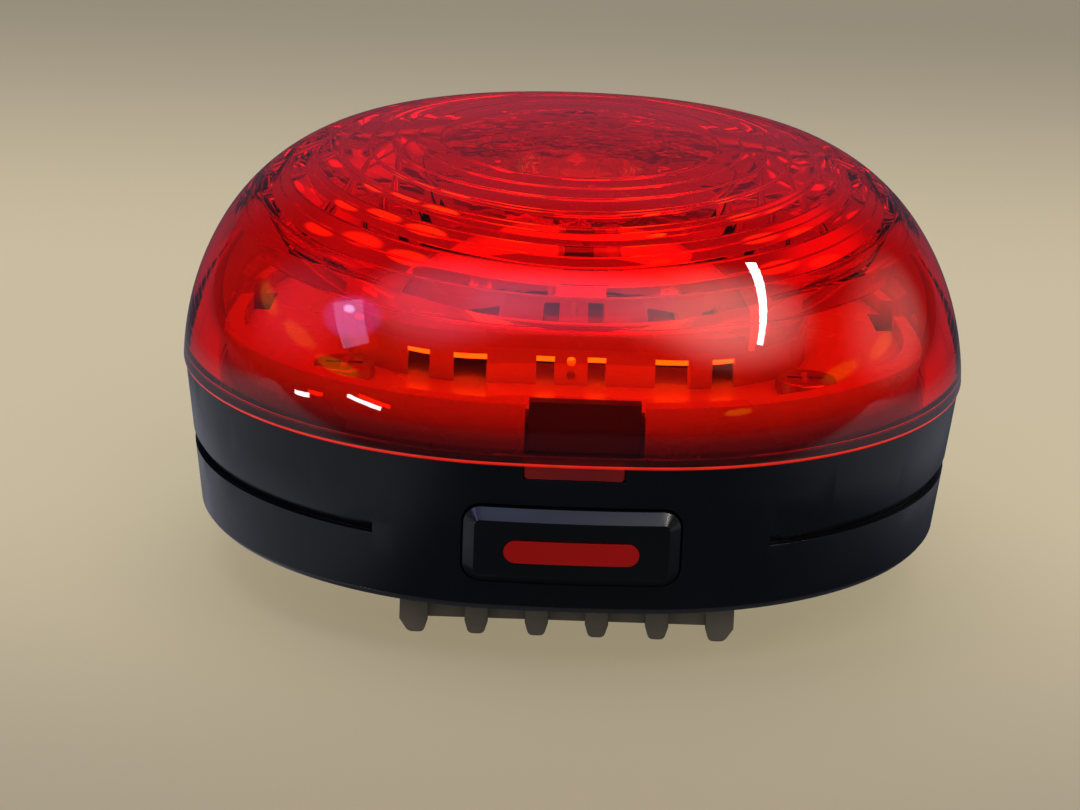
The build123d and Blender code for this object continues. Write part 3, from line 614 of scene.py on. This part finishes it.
def shadedWall(tree, white):
    # the outside of the tray's wall darkens to its foot, where the case shades it
    place = addNode(tree, "ShaderNodeTexCoord").outputs["Object"]
    height = addNode(tree, "ShaderNodeSeparateXYZ", {0: place}).outputs["Z"]
    low = addNode(tree, "ShaderNodeMapRange", {
        "interpolation_type": "SMOOTHSTEP", "Value": height, "From Min": trayShade["foot"] * mm,
        "From Max": trayShade["top"] * mm, "To Min": 1.0, "To Max": 0.0})
    steep, flat = trayShade["wallFlatness"]
    wall = addNode(tree, "ShaderNodeMapRange", {
        "Value": flatness(tree), "From Min": steep, "From Max": flat, "To Min": 1.0, "To Max": 0.0})
    shade = addNode(tree, "ShaderNodeMath", {"operation": "MULTIPLY", 0: low, 1: wall})
    return addNode(tree, "ShaderNodeMix", {
        "data_type": "RGBA", 0: shade, 6: white, 7: hexColour(trayShade["colour"])}).outputs[2]


def cutEdgePaintedGlow(tree, shader, white):
    # bare amber glass laminate at the board's cut edges, with a painted amber glow
    edge = addNode(tree, "ShaderNodeMath", {
        "operation": "LESS_THAN", 0: flatness(tree), 1: boardEdge["flatness"]})
    glow = addNode(tree, "ShaderNodeMix", {
        "data_type": "RGBA", 0: edge, 6: (0, 0, 0, 1), 7: hexColour(boardEdge["glow"])})
    tree.links.new(glow.outputs[2], shader.inputs["Emission Color"])
    return addNode(tree, "ShaderNodeMix", {
        "data_type": "RGBA", 0: edge, 6: white, 7: hexColour(boardEdge["colour"])}).outputs[2]


# Metals: colour, roughness, spacing of the lines
metals = {
    "platedSteel": ("#c4c6c8", 0.28, 0.08),      # bright, faintly streaked
    "goldPlate": ("#e3b85c", 0.22, 0.1),         # yellow glint
    "stainlessShell": ("#bcbdbe", 0.3, 0.1),     # grey sheet
    "pouchFoil": ("#b9bbc0", 0.35, 0.6),         # soft crumpled shine
}
brushing = {"detail": 3.0, "smoother": 0.08, "rougher": 0.12, "height": 0.002, "strength": 0.5}


def metalFinish(name):
    # bright metal with fine uneven lines from rolling or plating
    colour, roughness, spacing = metals[name]
    material, tree, shader = newMaterial(name, {"Metallic": 1.0, "Base Color": hexColour(colour)})
    lines = addNode(tree, "ShaderNodeTexNoise", {
        "Vector": addNode(tree, "ShaderNodeTexCoord").outputs["Object"],
        "Scale": 1 / (spacing * mm), "Detail": brushing["detail"]})
    gloss = addNode(tree, "ShaderNodeMapRange", {
        "Value": lines, "To Min": roughness - brushing["smoother"],
        "To Max": roughness + brushing["rougher"]})
    tree.links.new(gloss.outputs[0], shader.inputs["Roughness"])
    bump = addNode(tree, "ShaderNodeBump", {
        "Height": lines, "Distance": brushing["height"] * mm, "Strength": brushing["strength"]})
    tree.links.new(bump.outputs[0], shader.inputs["Normal"])
    return material


acrylic = {"Base Color": (0.97, 0.97, 0.97, 1), "Roughness": 0.02, "IOR": 1.49, "Transmission Weight": 1.0}
acrylicLampShare = 0.9


def clearAcrylic():
    # clear moulded optic, lit through by the lamp under it
    material, tree, shader = newMaterial("clearAcrylic", acrylic)
    passShadows(tree, shader, acrylicLampShare)
    return material


materials = {name: mouldedFinish(name) for name in finishes}
materials.update({name: metalFinish(name) for name in metals})
materials["clearAcrylic"] = clearAcrylic()
print("finishes made:", len(materials))


# Black band and the dark cover under it
softCopy("housing", "band_housing", "blackAbs", 0.1, 3, "black_band_plastic")
softCopy("rear_cover", "rear_cover_moulding", "darkPolycarbonate", 0.08, 2, "cover_plastic")

# Rubber pad: a slab let into the cover, a base set back from its ends, and ribs
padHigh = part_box("mount_pad")[1]
pad = {
    "seat": 0.4,             # let into the cover
    "seatSoft": 0.03,
    "overlap": 0.05,         # of the base and the slab
    "corner": 1.5,
    "setBack": 0.5,          # how far the ribs run past the base at each end
    "ribs": 6,
    "ribPitch": 3.34,
    "ribHeight": 0.75,
    "ribFoot": 0.85,
    "ribRoot": 1.3,
    "ribRound": 0.25,
    "soft": 0.16,            # round of the rubber's edges
    "softPoints": 4,
    "cornerPoints": 8,
}


def softEdge(soft):
    # points of a round edge, as distances from its two faces
    turns = np.linspace(0, quarterTurn, pad["softPoints"])
    return [(soft * (1 - sin(turn)), soft * (1 - cos(turn))) for turn in turns]


def slabMesh(name, halfX, halfY, low, high, soft):
    # an upright slab with round corners and soft edges
    rings = [(inset, low + rise) for inset, rise in softEdge(soft)]
    rings += [(inset, low + high - z) for inset, z in reversed(rings)]
    turns = np.linspace(0, quarterTurn, pad["cornerPoints"])
    return ringMesh(name, [level(roundBox(halfX, halfY, pad["corner"], turns, inset), z) * mm
                           for inset, z in rings])


def ribMesh(name, right=pad["ribRoot"] / 2):
    # one rib along Y, its foot and its ends rounded; right is where its right side stands
    half = padHigh.y / mm
    top = padHigh.z / mm - pad["seat"]
    left, foot = -pad["ribRoot"] / 2, pad["ribFoot"] / 2
    section = [np.array(p) for p in ((left, top), (left, pad["ribHeight"]), (-foot, 0.0), (foot, 0.0),
                                     (right, pad["ribHeight"]), (right, top))]
    profile = section[:2]
    for i in (2, 3):
        profile += roundedCorner(*section[i - 1:i + 2], pad["ribRound"], pad["softPoints"])
    profile += section[4:]
    middle = np.array([0.0, top])
    rings = []
    for side in (-1, 1):
        for inset, draw in softEdge(pad["soft"]):
            ring = []
            for point in profile:
                if point[1] < top:
                    off = middle - point
                    point = point + off / np.linalg.norm(off) * draw
                ring.append((point[0] * mm, side * (half - inset) * mm, point[1] * mm))
            rings.append(ring)
    rings.sort(key=lambda ring: ring[0][1])
    return ringMesh(name, rings)


def ribTree():
    # equal ribs side by side along X
    tree, given = newTree("padRibs", Ribs="Int", Pitch="Float")
    gaps = addNode(tree, "ShaderNodeMath", {"operation": "SUBTRACT", 0: given["Ribs"], 1: 1.0})
    span = addNode(tree, "ShaderNodeMath", {"operation": "MULTIPLY", 0: gaps, 1: given["Pitch"]})
    left = addNode(tree, "ShaderNodeMath", {"operation": "MULTIPLY", 0: span, 1: -0.5})
    start = addNode(tree, "ShaderNodeCombineXYZ", {"X": left})
    step = addNode(tree, "ShaderNodeCombineXYZ", {"X": given["Pitch"]})
    row = addNode(tree, "GeometryNodeMeshLine", {
        "Count": given["Ribs"], "Start Location": start, "Offset": step})
    return endTree(tree, row, given)


def makePad():
    rubber = materials["padRubber"]
    halfX, halfY, top = (side / mm for side in padHigh)
    flush = top - pad["seat"]
    slab = slabMesh("pad_seat", halfX, halfY, flush, top, pad["seatSoft"])
    base = slabMesh("pad_base", halfX, halfY - pad["setBack"], pad["ribHeight"], flush + pad["overlap"],
                    pad["soft"])
    pieces = [newPiece("pad_seat", slab, rubber), newPiece("pad_base", base, rubber)]
    pieces.append(grow("pad_ribs", ribMesh("pad_ribs"), ribTree(), {
        "Ribs": pad["ribs"] - 2, "Pitch": pad["ribPitch"] * mm, "Finish": rubber}))
    # the outer ribs reach to the pad's edges
    place = (pad["ribs"] - 1) / 2 * pad["ribPitch"]
    for side, name in ((1, "pad_edge_right"), (-1, "pad_edge_left")):
        mesh = ribMesh(name, halfX - place)
        for vertex in mesh.vertices:
            vertex.co.x = side * (vertex.co.x + place * mm)
        if side < 0:
            mesh.flip_normals()
        pieces.append(newPiece(name, mesh, rubber))
    for piece in pieces:
        standFor(piece, "mount_pad")


makePad()
print("pad made:", pad["ribs"], "ribs")

# Crosshead screws, alike in each set
screws = {
    "cover_screws": {"head": 1.6, "height": 0.7, "shank": 0.8, "up": -1},
    "frame_screws": {"head": 1.6, "height": 0.7, "shank": 0.8, "up": 1},
    "cover_plate_screws": {"head": 1.1, "height": 0.5, "shank": 0.6, "up": 1},
    "main_board_screws": {"head": 1.1, "height": 0.5, "shank": 0.6, "up": -1},
}
thread = {
    "pitch": 0.5,
    "start": 0.3,            # from the tip
    "rise": (0.18, 0.36),    # where a turn is deepest and where it is full again
    "depth": 0.1,
    "tipLength": 0.28,
    "tipShare": 0.72,        # of the shank's radius
}
panHead = {"round": 0.14, "under": 0.04, "edge": 0.05, "roundPoints": 5, "sides": 40}
cross = {"width": 0.35, "depth": 0.3, "reach": 0.62, "above": 0.2, "flare": 1.12, "taper": 0.8}


def screwProfile(values, tip, crown):
    # r and z from the tip to the crown: shank with rolled thread, pan head
    way = values["up"]
    seat = crown - way * values["height"]
    shank, radius = values["shank"], values["head"]
    profile = [(0.0, tip), (shank * thread["tipShare"], tip), (shank, tip + way * thread["tipLength"])]
    length = abs(seat - tip)
    for i in range(int(length / thread["pitch"])):
        base = tip + way * (thread["start"] + i * thread["pitch"])
        if abs(base - tip) < length - thread["pitch"]:
            deep, full = thread["rise"]
            profile += [(shank - thread["depth"], base + way * deep), (shank, base + way * full)]
    profile += [(shank, seat), (radius - panHead["under"], seat), (radius, seat + way * panHead["edge"])]
    for turn in np.linspace(0, quarterTurn, panHead["roundPoints"]):
        profile.append((radius - panHead["round"] * (1 - cos(turn)),
                        crown - way * panHead["round"] * (1 - sin(turn))))
    return profile + [(0.0, crown)]


def screwMesh(name, values, low, high):
    # a screw on the Z axis from low to high, with a cross cut in its head
    way = values["up"]
    crown, tip = (high, low) if way > 0 else (low, high)
    piece = newPiece(name, ringMesh(name, turnedRings(screwProfile(values, tip, crown), panHead["sides"])))
    reach, half = values["head"] * cross["reach"], cross["width"] / 2
    for turn in (0, quarterTurn):
        rings = []
        for z, share in ((crown + way * cross["above"], cross["flare"]),
                         (crown - way * cross["depth"], cross["taper"])):
            rings.append([((x * cos(turn) - y * sin(turn)) * mm,
                           (x * sin(turn) + y * cos(turn)) * mm, z * mm)
                          for x, y in ((-reach * share, -half), (reach * share, -half),
                                       (reach * share, half), (-reach * share, half))])
        cutter = addObject("driverSlot", ringMesh("driverSlot", rings))
        cut = piece.modifiers.new("drive", "BOOLEAN")
        cut.object = cutter
        cut.solver = "EXACT"
        plainMesh(piece)
        bpy.data.objects.remove(cutter)
    mesh = piece.data
    bpy.data.objects.remove(piece)
    return mesh


def screwTree():
    # the same screw at the four corners of a rectangle
    tree, given = newTree("screwPattern", Across="Float", Along="Float")
    grid = addNode(tree, "GeometryNodeMeshGrid", {
        "Vertices X": 2, "Vertices Y": 2, "Size X": given["Across"], "Size Y": given["Along"]})
    return endTree(tree, grid, given)


def makeScrews():
    tree = screwTree()
    steel = materials["platedSteel"]
    for node, values in screws.items():
        low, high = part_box(node)
        screw = node, values, low.z / mm, high.z / mm
        if node != "main_board_screws":
            spread = high.x - low.x - 2 * values["head"] * mm
            piece = grow(node + "_crosshead", screwMesh(*screw), tree, {
                "Across": spread, "Along": spread, "Finish": steel})
            standFor(piece, node)
            continue
        # the lower board has two screws, at opposite corners
        for side, name in ((1, "board_screw_front"), (-1, "board_screw_back")):
            mesh = screwMesh(name, *screw[1:])
            mesh.transform(Matrix.Translation((side * (high.x - values["head"] * mm),
                                               -side * (high.y - values["head"] * mm), 0)))
            standFor(newPiece(name, mesh, steel), node)


makeScrews()
print("screws made:", len(screws), "sets")

# Lamps on the upper board: packages with yellow phosphor round the middle one
lamps = {
    "count": 6,
    "reach": 8.8,            # from the middle
    "size": 2.8,
    "corner": 0.3,
    "cornerPoints": 8,
    "cornerEnd": 0.17,       # radians past the last of them, where the straight side starts
    "foot": (0.98, 0.04),    # share of the size, height of its chamfer
    "top": (0.97, 0.06),
    "cupRadius": 1.0,
    "cupTop": 1.12,          # the cup opens upwards
    "cupDepth": 0.3,
    "gelFoot": 0.99,
    "gelTop": 0.995,
    "gelSlope": ((0.8, 0.03), (0.45, 0.06)),  # radius and depth, down to the dip in the middle
    "gelSides": 36,
}


def lampBodyMesh(low, high):
    # a white package: a square with round corners, and a cup in its top
    half = lamps["size"] / 2
    turns = list(np.linspace(0, quarterTurn, lamps["cornerPoints"], endpoint=False))
    turns.append(turns[-1] + lamps["cornerEnd"])
    square = roundBox(half, half, lamps["corner"], turns)
    around = np.arctan2(square[:, 1], square[:, 0])
    circle = np.column_stack([np.cos(around), np.sin(around)])
    (footShare, footRise), (topShare, topDrop) = lamps["foot"], lamps["top"]
    rings = [(square * footShare, low), (square, low + footRise), (square, high - topDrop),
             (square * topShare, high), (circle * lamps["cupTop"], high),
             (circle * lamps["cupRadius"], high - lamps["cupDepth"])]
    return ringMesh("lamp_body", [level(flat, z) * mm for flat, z in rings])


def gelMesh(low, high):
    # yellow phosphor gel, sunk a little in the middle
    slope = [(r, high - depth) for r, depth in lamps["gelSlope"]]
    profile = [(0, low), (lamps["gelFoot"], low), (lamps["gelTop"], high), *slope, (0, slope[-1][1])]
    return ringMesh("lamp_gel", turnedRings(profile, lamps["gelSides"]))


def lampTree():
    # copies round a circle, each turned to face its middle
    tree, given = newTree("lampCircle", Lamps="Int", Reach="Float")
    circle = addNode(tree, "GeometryNodeMeshCircle", {
        "Vertices": given["Lamps"], "Radius": given["Reach"]})
    number = addNode(tree, "GeometryNodeInputIndex")
    part = addNode(tree, "ShaderNodeMath", {"operation": "DIVIDE", 0: 2 * pi, 1: given["Lamps"]})
    turn = addNode(tree, "ShaderNodeMath", {"operation": "MULTIPLY", 0: number, 1: part})
    face = addNode(tree, "ShaderNodeCombineXYZ", {"Z": turn})
    return endTree(tree, circle, given, Rotation=face)


def makeLamps():
    tree = lampTree()
    for node, name, mesh, finish, slot in (
            ("side_leds", "side_lamp_packages", lampBodyMesh, "ledCeramic", "led_body"),
            ("side_led_phosphors", "side_lamp_gels", gelMesh, "yellowPhosphor", "phosphor")):
        low, high = (corner.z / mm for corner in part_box(node))
        piece = grow(name, mesh(low, high), tree, {
            "Lamps": lamps["count"], "Reach": lamps["reach"] * mm, "Finish": materials[finish]})
        standFor(piece, node)


makeLamps()
print("lamps made:", lamps["count"])

# Pieces that take over a node's own form: name, finish, edge round and its segments, slot
rounded = {
    "button_key": ("button_key_cap", "keyElastomer", 0.17, 5, "key_plastic"),
    "button_window": ("button_light_window", "redWindowSilicone", 0.1, 3, "red_window"),
    "port_flap": ("port_flap_rubber", "flapRubber", 0.12, 3, "flap_rubber"),
    "reflector_frame": ("reflector_tray", "shadedWhitePolycarbonate", 0.06, 2, "white_reflector"),
    "reflector_cover": ("reflector_plate", "polishedWhitePolycarbonate", 0.05, 2, "white_reflector"),
    "centre_optic": ("centre_optic_cone", "clearAcrylic", 0.03, 2, "clear_optic"),
    "switch_holder": ("switch_bridge", "blackNylon", 0.05, 2, "switch_body"),
    "driver_chip": ("driver_chip_package", "blackEpoxy", 0.03, 2, "chip_epoxy"),
    "centre_led": ("centre_lamp", "ledCeramic", 0.04, 2, "led_body"),
    "battery_cell": ("battery_pouch", "pouchFoil", 0.05, 2, "cell_foil"),
    "charge_port": ("charge_port_shell", "stainlessShell", 0.04, 2, "port_steel"),
}
for node, values in rounded.items():
    softCopy(node, *values)

# Nodes whose CAD mesh stays and takes a finish
carried = {
    "cover_seal": "siliconeSeal", "led_board": "lampBoardLaminate",
    "chip_components": "chipCeramic", "link_header": "blackNylon",
    "link_pins": "goldPlate", "main_board": "greenSolderMask",
    "battery_tape": "foamTape", "battery_lead_positive": "redSilicone",
    "battery_lead_negative": "blackSilicone", "tact_switch": "blackNylon",
    "switch_plunger": "blackNylon", "port_tongue": "blackNylon",
    "flap_anchor": "flapRubber",
}
for node, finish in carried.items():
    nodes[node].data.materials.clear()
    nodes[node].data.materials.append(materials[finish])
print("pieces dressed:", len(rounded) + len(carried))


# The floor is a pale pane that glows a little. Polished faces show it dimmer, as in the photograph, and
# lighter in two patches beside the object. Distances here are in metres.
pane = {
    "size": 3.0,
    "roughness": 0.5,
    "colour": "#6f6858",
    "glow": "#a99d80",
    "glowStrength": 0.95,
    "mirrored": "#3a3f4c",
    "mirroredPatch": "#9a9ca8",
}
# Where its glow and its light patches fade: axis, start, end, shares there
paneFades = {
    "glowBack": ("Y", 0.05, 0.15, 1.0, 0.25),
    "glowFront": ("Y", -0.05, 0.01, 0.45, 1.0),
    "patchLeft": ("X", -0.013, -0.021, 0.0, 1.0),
    "patchRight": ("X", 0.023, 0.040, 0.0, 1.0),
    "patchFront": ("Y", -0.06, -0.036, 0.0, 1.0),
    "patchBack": ("Y", 0.0, 0.06, 1.0, 0.0),
}
# The room: grey walls, a pale ceiling and soft windows
room = {
    "walls": "#aaa79f",
    "ceiling": "#a6adbb",
    "wallsMirrored": "#24282f",   # what polished faces show of them
    "ceilingMirrored": "#2a2e3c",
    "wallTop": 32.0,              # degrees above the horizon
    "ceilingStart": 62.0,
    "strength": 1.0,
}
# Soft windows: degrees from the front and above the horizon, half width and soft edge in degrees, how
# flat, colour, strength, and whether they show only through the clear red plastic
windows = {
    "warmHalo": (55, 54, 7, 23, 1, "#fff2e8", 2.6, False),
    "leftSky": (-50, 60, 8, 20, 1, "#c4ccff", 1.1, False),
    "backWall": (180, 22, 12, 24, 1, "#9c94c4", 0.15, False),
    "leftWall": (-97, 28, 6, 20, 1, "#a8b0e8", 0.3, False),
    "rightWall": (112, 16, 10, 20, 1.5, "#fff0e4", 0.6, False),
    "frontSky": (0, 68, 7, 14, 1, "#b8c8ff", 1.0, False),
    "leftPanel": (-76, 37, 8, 4, 1.2, "#8a7cff", 1.6, False),
    "leftSpot": (-80, 39, 1.5, 1.2, 1.5, "#d8c8ff", 9.0, False),
    "leftLampNear": (-72, 15, 7, 4, 3, "#28ff00", 70.0, True),
    "leftLampMiddle": (-94, 18, 6, 5, 3, "#28ff00", 60.0, True),
    "leftLampFar": (-117, 17, 5, 5, 3, "#28ff00", 60.0, True),
    "rightLampNear": (41, 9, 4, 2, 3, "#34ff00", 80.0, True),
    "rightLampMiddle": (86, 14, 6, 5, 3, "#28ff00", 60.0, True),
    "rightLampFar": (109, 12, 5, 5, 3, "#28ff00", 60.0, True),
}


def lightShares(tree):
    # share of light that a polished face throws back, and share that comes through clear plastic
    path = addNode(tree, "ShaderNodeLightPath").outputs
    through = path["Is Transmission Ray"]
    mirrored = addNode(tree, "ShaderNodeMath", {
        "operation": "SUBTRACT", "use_clamp": True, 0: path["Is Glossy Ray"], 1: through})
    return mirrored, through


def paleFloor():
    bpy.ops.mesh.primitive_plane_add(size=pane["size"])
    floor = bpy.context.object
    floor.name = "studio_floor"
    material, tree, shader = newMaterial("frostedPane", {
        "Base Color": hexColour(pane["colour"]), "Roughness": pane["roughness"],
        "Emission Color": hexColour(pane["glow"])})
    place = addNode(tree, "ShaderNodeTexCoord").outputs["Object"]
    axes = addNode(tree, "ShaderNodeSeparateXYZ", {0: place}).outputs
    fades = {part: addNode(tree, "ShaderNodeMapRange", {
        "interpolation_type": "SMOOTHSTEP", "Value": axes[axis],
        "From Min": start, "From Max": end, "To Min": low, "To Max": high})
        for part, (axis, start, end, low, high) in paneFades.items()}
    glow = addNode(tree, "ShaderNodeMath", {
        "operation": "MULTIPLY", 0: fades["glowBack"], 1: fades["glowFront"]})
    glow = addNode(tree, "ShaderNodeMath", {"operation": "MULTIPLY", 0: glow, 1: pane["glowStrength"]})
    tree.links.new(glow.outputs[0], shader.inputs["Emission Strength"])
    patch = addNode(tree, "ShaderNodeMath", {
        "operation": "MAXIMUM", 0: fades["patchLeft"], 1: fades["patchRight"]})
    for part in ("patchFront", "patchBack"):
        patch = addNode(tree, "ShaderNodeMath", {"operation": "MULTIPLY", 0: patch, 1: fades[part]})
    grey = addNode(tree, "ShaderNodeMix", {
        "data_type": "RGBA", 0: patch, 6: hexColour(pane["mirrored"]),
        7: hexColour(pane["mirroredPatch"])}).outputs[2]
    dark = addNode(tree, "ShaderNodeEmission", {"Color": grey})
    mix = addNode(tree, "ShaderNodeMixShader", {0: lightShares(tree)[0], 1: shader, 2: dark})
    tree.links.new(mix.outputs[0], tree.nodes["Material Output"].inputs["Surface"])
    floor.data.materials.append(material)


def direction(azimuth, elevation):
    # the way to a place at these degrees from the front and above the horizon
    az, el = radians(azimuth), radians(elevation)
    return sin(az) * cos(el), -cos(az) * cos(el), sin(el)


def studioAir():
    world = bpy.data.worlds.new("studioAir")
    bpy.context.scene.world = world
    world.use_nodes = True
    tree = world.node_tree
    way = addNode(tree, "ShaderNodeTexCoord").outputs["Generated"]
    height = addNode(tree, "ShaderNodeSeparateXYZ", {0: way}).outputs["Z"]
    rise = addNode(tree, "ShaderNodeMapRange", {
        "interpolation_type": "SMOOTHSTEP", "Value": height,
        "From Min": sin(radians(room["wallTop"])), "From Max": sin(radians(room["ceilingStart"]))})
    mirrored, through = lightShares(tree)
    walls, ceiling = (addNode(tree, "ShaderNodeMix", {
        "data_type": "RGBA", 0: mirrored, 6: hexColour(room[part]),
        7: hexColour(room[part + "Mirrored"])}).outputs[2] for part in ("walls", "ceiling"))
    light = addNode(tree, "ShaderNodeMix", {"data_type": "RGBA", 0: rise, 6: walls, 7: ceiling}).outputs[2]
    for azimuth, elevation, wide, soft, flat, colour, strength, onlyThrough in windows.values():
        off = addNode(tree, "ShaderNodeVectorMath", {
            "operation": "SUBTRACT", 0: way, 1: direction(azimuth, elevation)})
        off = addNode(tree, "ShaderNodeVectorMath", {"operation": "MULTIPLY", 0: off, 1: (1, 1, flat)})
        far = addNode(tree, "ShaderNodeVectorMath", {"operation": "LENGTH", 0: off}).outputs["Value"]
        share = addNode(tree, "ShaderNodeMapRange", {
            "interpolation_type": "SMOOTHSTEP", "Value": far, "From Min": radians(wide),
            "From Max": radians(wide + soft), "To Min": strength, "To Max": 0.0})
        if onlyThrough:
            share = addNode(tree, "ShaderNodeMath", {"operation": "MULTIPLY", 0: share, 1: through})
        light = addNode(tree, "ShaderNodeMix", {
            "data_type": "RGBA", "blend_type": "ADD", "clamp_factor": False,
            0: share, 6: light, 7: hexColour(colour)}).outputs[2]
    background = tree.nodes["Background"].inputs
    tree.links.new(light, background["Color"])
    background["Strength"].default_value = room["strength"]


# Lamps of the studio. Soft boxes don't show in polished faces: place, aim, width and height in metres,
# watts, colour
softBoxes = {
    "overheadSoftbox": ((-0.1, 0.25, 0.7), (0, 0, 0.02), 0.8, 0.6, 4.4, "#ffffff"),
    "frontFill": ((0.05, -0.55, 0.3), (0, 0, 0.01), 0.4, 0.2, 1.0, "#fff3e4"),
}
# Tubes draw the long highlights: both ends and width in metres, watts, colour, and whether they light
# matt faces too
tubes = {
    "rightTube": ((0.298, 0.125, 0.6), (0.618, -0.423, 0.6), 0.03, 1.6, "#ffffff", False),
    "leftPane": ((-0.60, -0.36, 0.083), (-0.45, -0.43, 0.052), 0.02, 0.22, "#ffffff", True),
    "leftGlint": ((-0.612, -0.188, 0.018), (-0.596, -0.118, 0.006), 0.02, 0.08, "#ffffff", True),
    "leftWindow": ((-0.49, -0.245, 0.292), (-0.455, -0.06, 0.405), 0.1, 0.16, "#d4b8ff", False),
}
tubeAim = Vector((0, 0, 0.015))


def softLight(name, place, aim, width, height, power, colour):
    data = bpy.data.lights.new(name, "AREA")
    data.shape = "RECTANGLE"
    data.size, data.size_y = width, height
    data.energy = power
    data.color = hexColour(colour)[:3]
    lamp = addObject(name, data)
    lamp.location = place
    lamp.rotation_euler = (Vector(aim) - Vector(place)).to_track_quat("-Z", "Y").to_euler()
    return lamp


def tubeLight(name, start, end, width, power, colour):
    # a long narrow lamp between two points, turned to the object
    start, end = Vector(start), Vector(end)
    middle = (start + end) / 2
    lamp = softLight(name, middle, tubeAim, (end - start).length, width, power, colour)
    along = (end - start).normalized()
    back = (middle - tubeAim).normalized()
    back = (back - along * back.dot(along)).normalized()
    turn = Matrix((along, back.cross(along), back)).transposed().to_4x4()
    lamp.matrix_world = Matrix.Translation(middle) @ turn
    return lamp


# The camera stands low in front, a hair left of the middle, and is tilted a little
view = {
    "azimuth": -0.98,        # degrees
    "elevation": 16.71,
    "roll": 2.27,
    "distance": 0.2451,      # metres from the aim
    "aim": (0, 0, (jointZ + 1.3) * mm),
    "focal": 4200,           # pixels
    "frame": (1080, 810),
    "aimPixel": (573.2, 324.85),
    "sensor": 36.0,
    "clipStart": 0.01,       # metres
}


def photoCamera():
    data = bpy.data.cameras.new("photoCamera")
    (width, height), (x, y) = view["frame"], view["aimPixel"]
    data.sensor_width = view["sensor"]
    data.lens = view["focal"] * view["sensor"] / width
    data.clip_start = view["clipStart"]
    data.shift_x = (width / 2 - x) / width
    data.shift_y = (y - height / 2) / width
    camera = addObject("photoCamera", data)
    back = Vector(direction(view["azimuth"], view["elevation"]))
    place = Vector(view["aim"]) + back * view["distance"]
    turn = (-back).to_track_quat("-Z", "Y").to_matrix().to_4x4()
    roll = Matrix.Rotation(radians(view["roll"]), 4, "Z")
    camera.matrix_world = Matrix.Translation(place) @ turn @ roll
    bpy.context.scene.camera = camera


paleFloor()
studioAir()
for name, values in softBoxes.items():
    softLight(name, *values).visible_glossy = False
for name, (*values, onMatt) in tubes.items():
    tubeLight(name, *values).visible_diffuse = onMatt
photoCamera()
bpy.context.scene.view_settings.view_transform = "Standard"
# the dome's steps pass light on many times before it leaves
bounces = {"max_bounces": 32, "glossy_bounces": 24, "transmission_bounces": 32}
for kind, count in bounces.items():
    setattr(bpy.context.scene.cycles, kind, count)
print("studio set:", len(windows), "windows,", len(softBoxes) + len(tubes), "lamps")
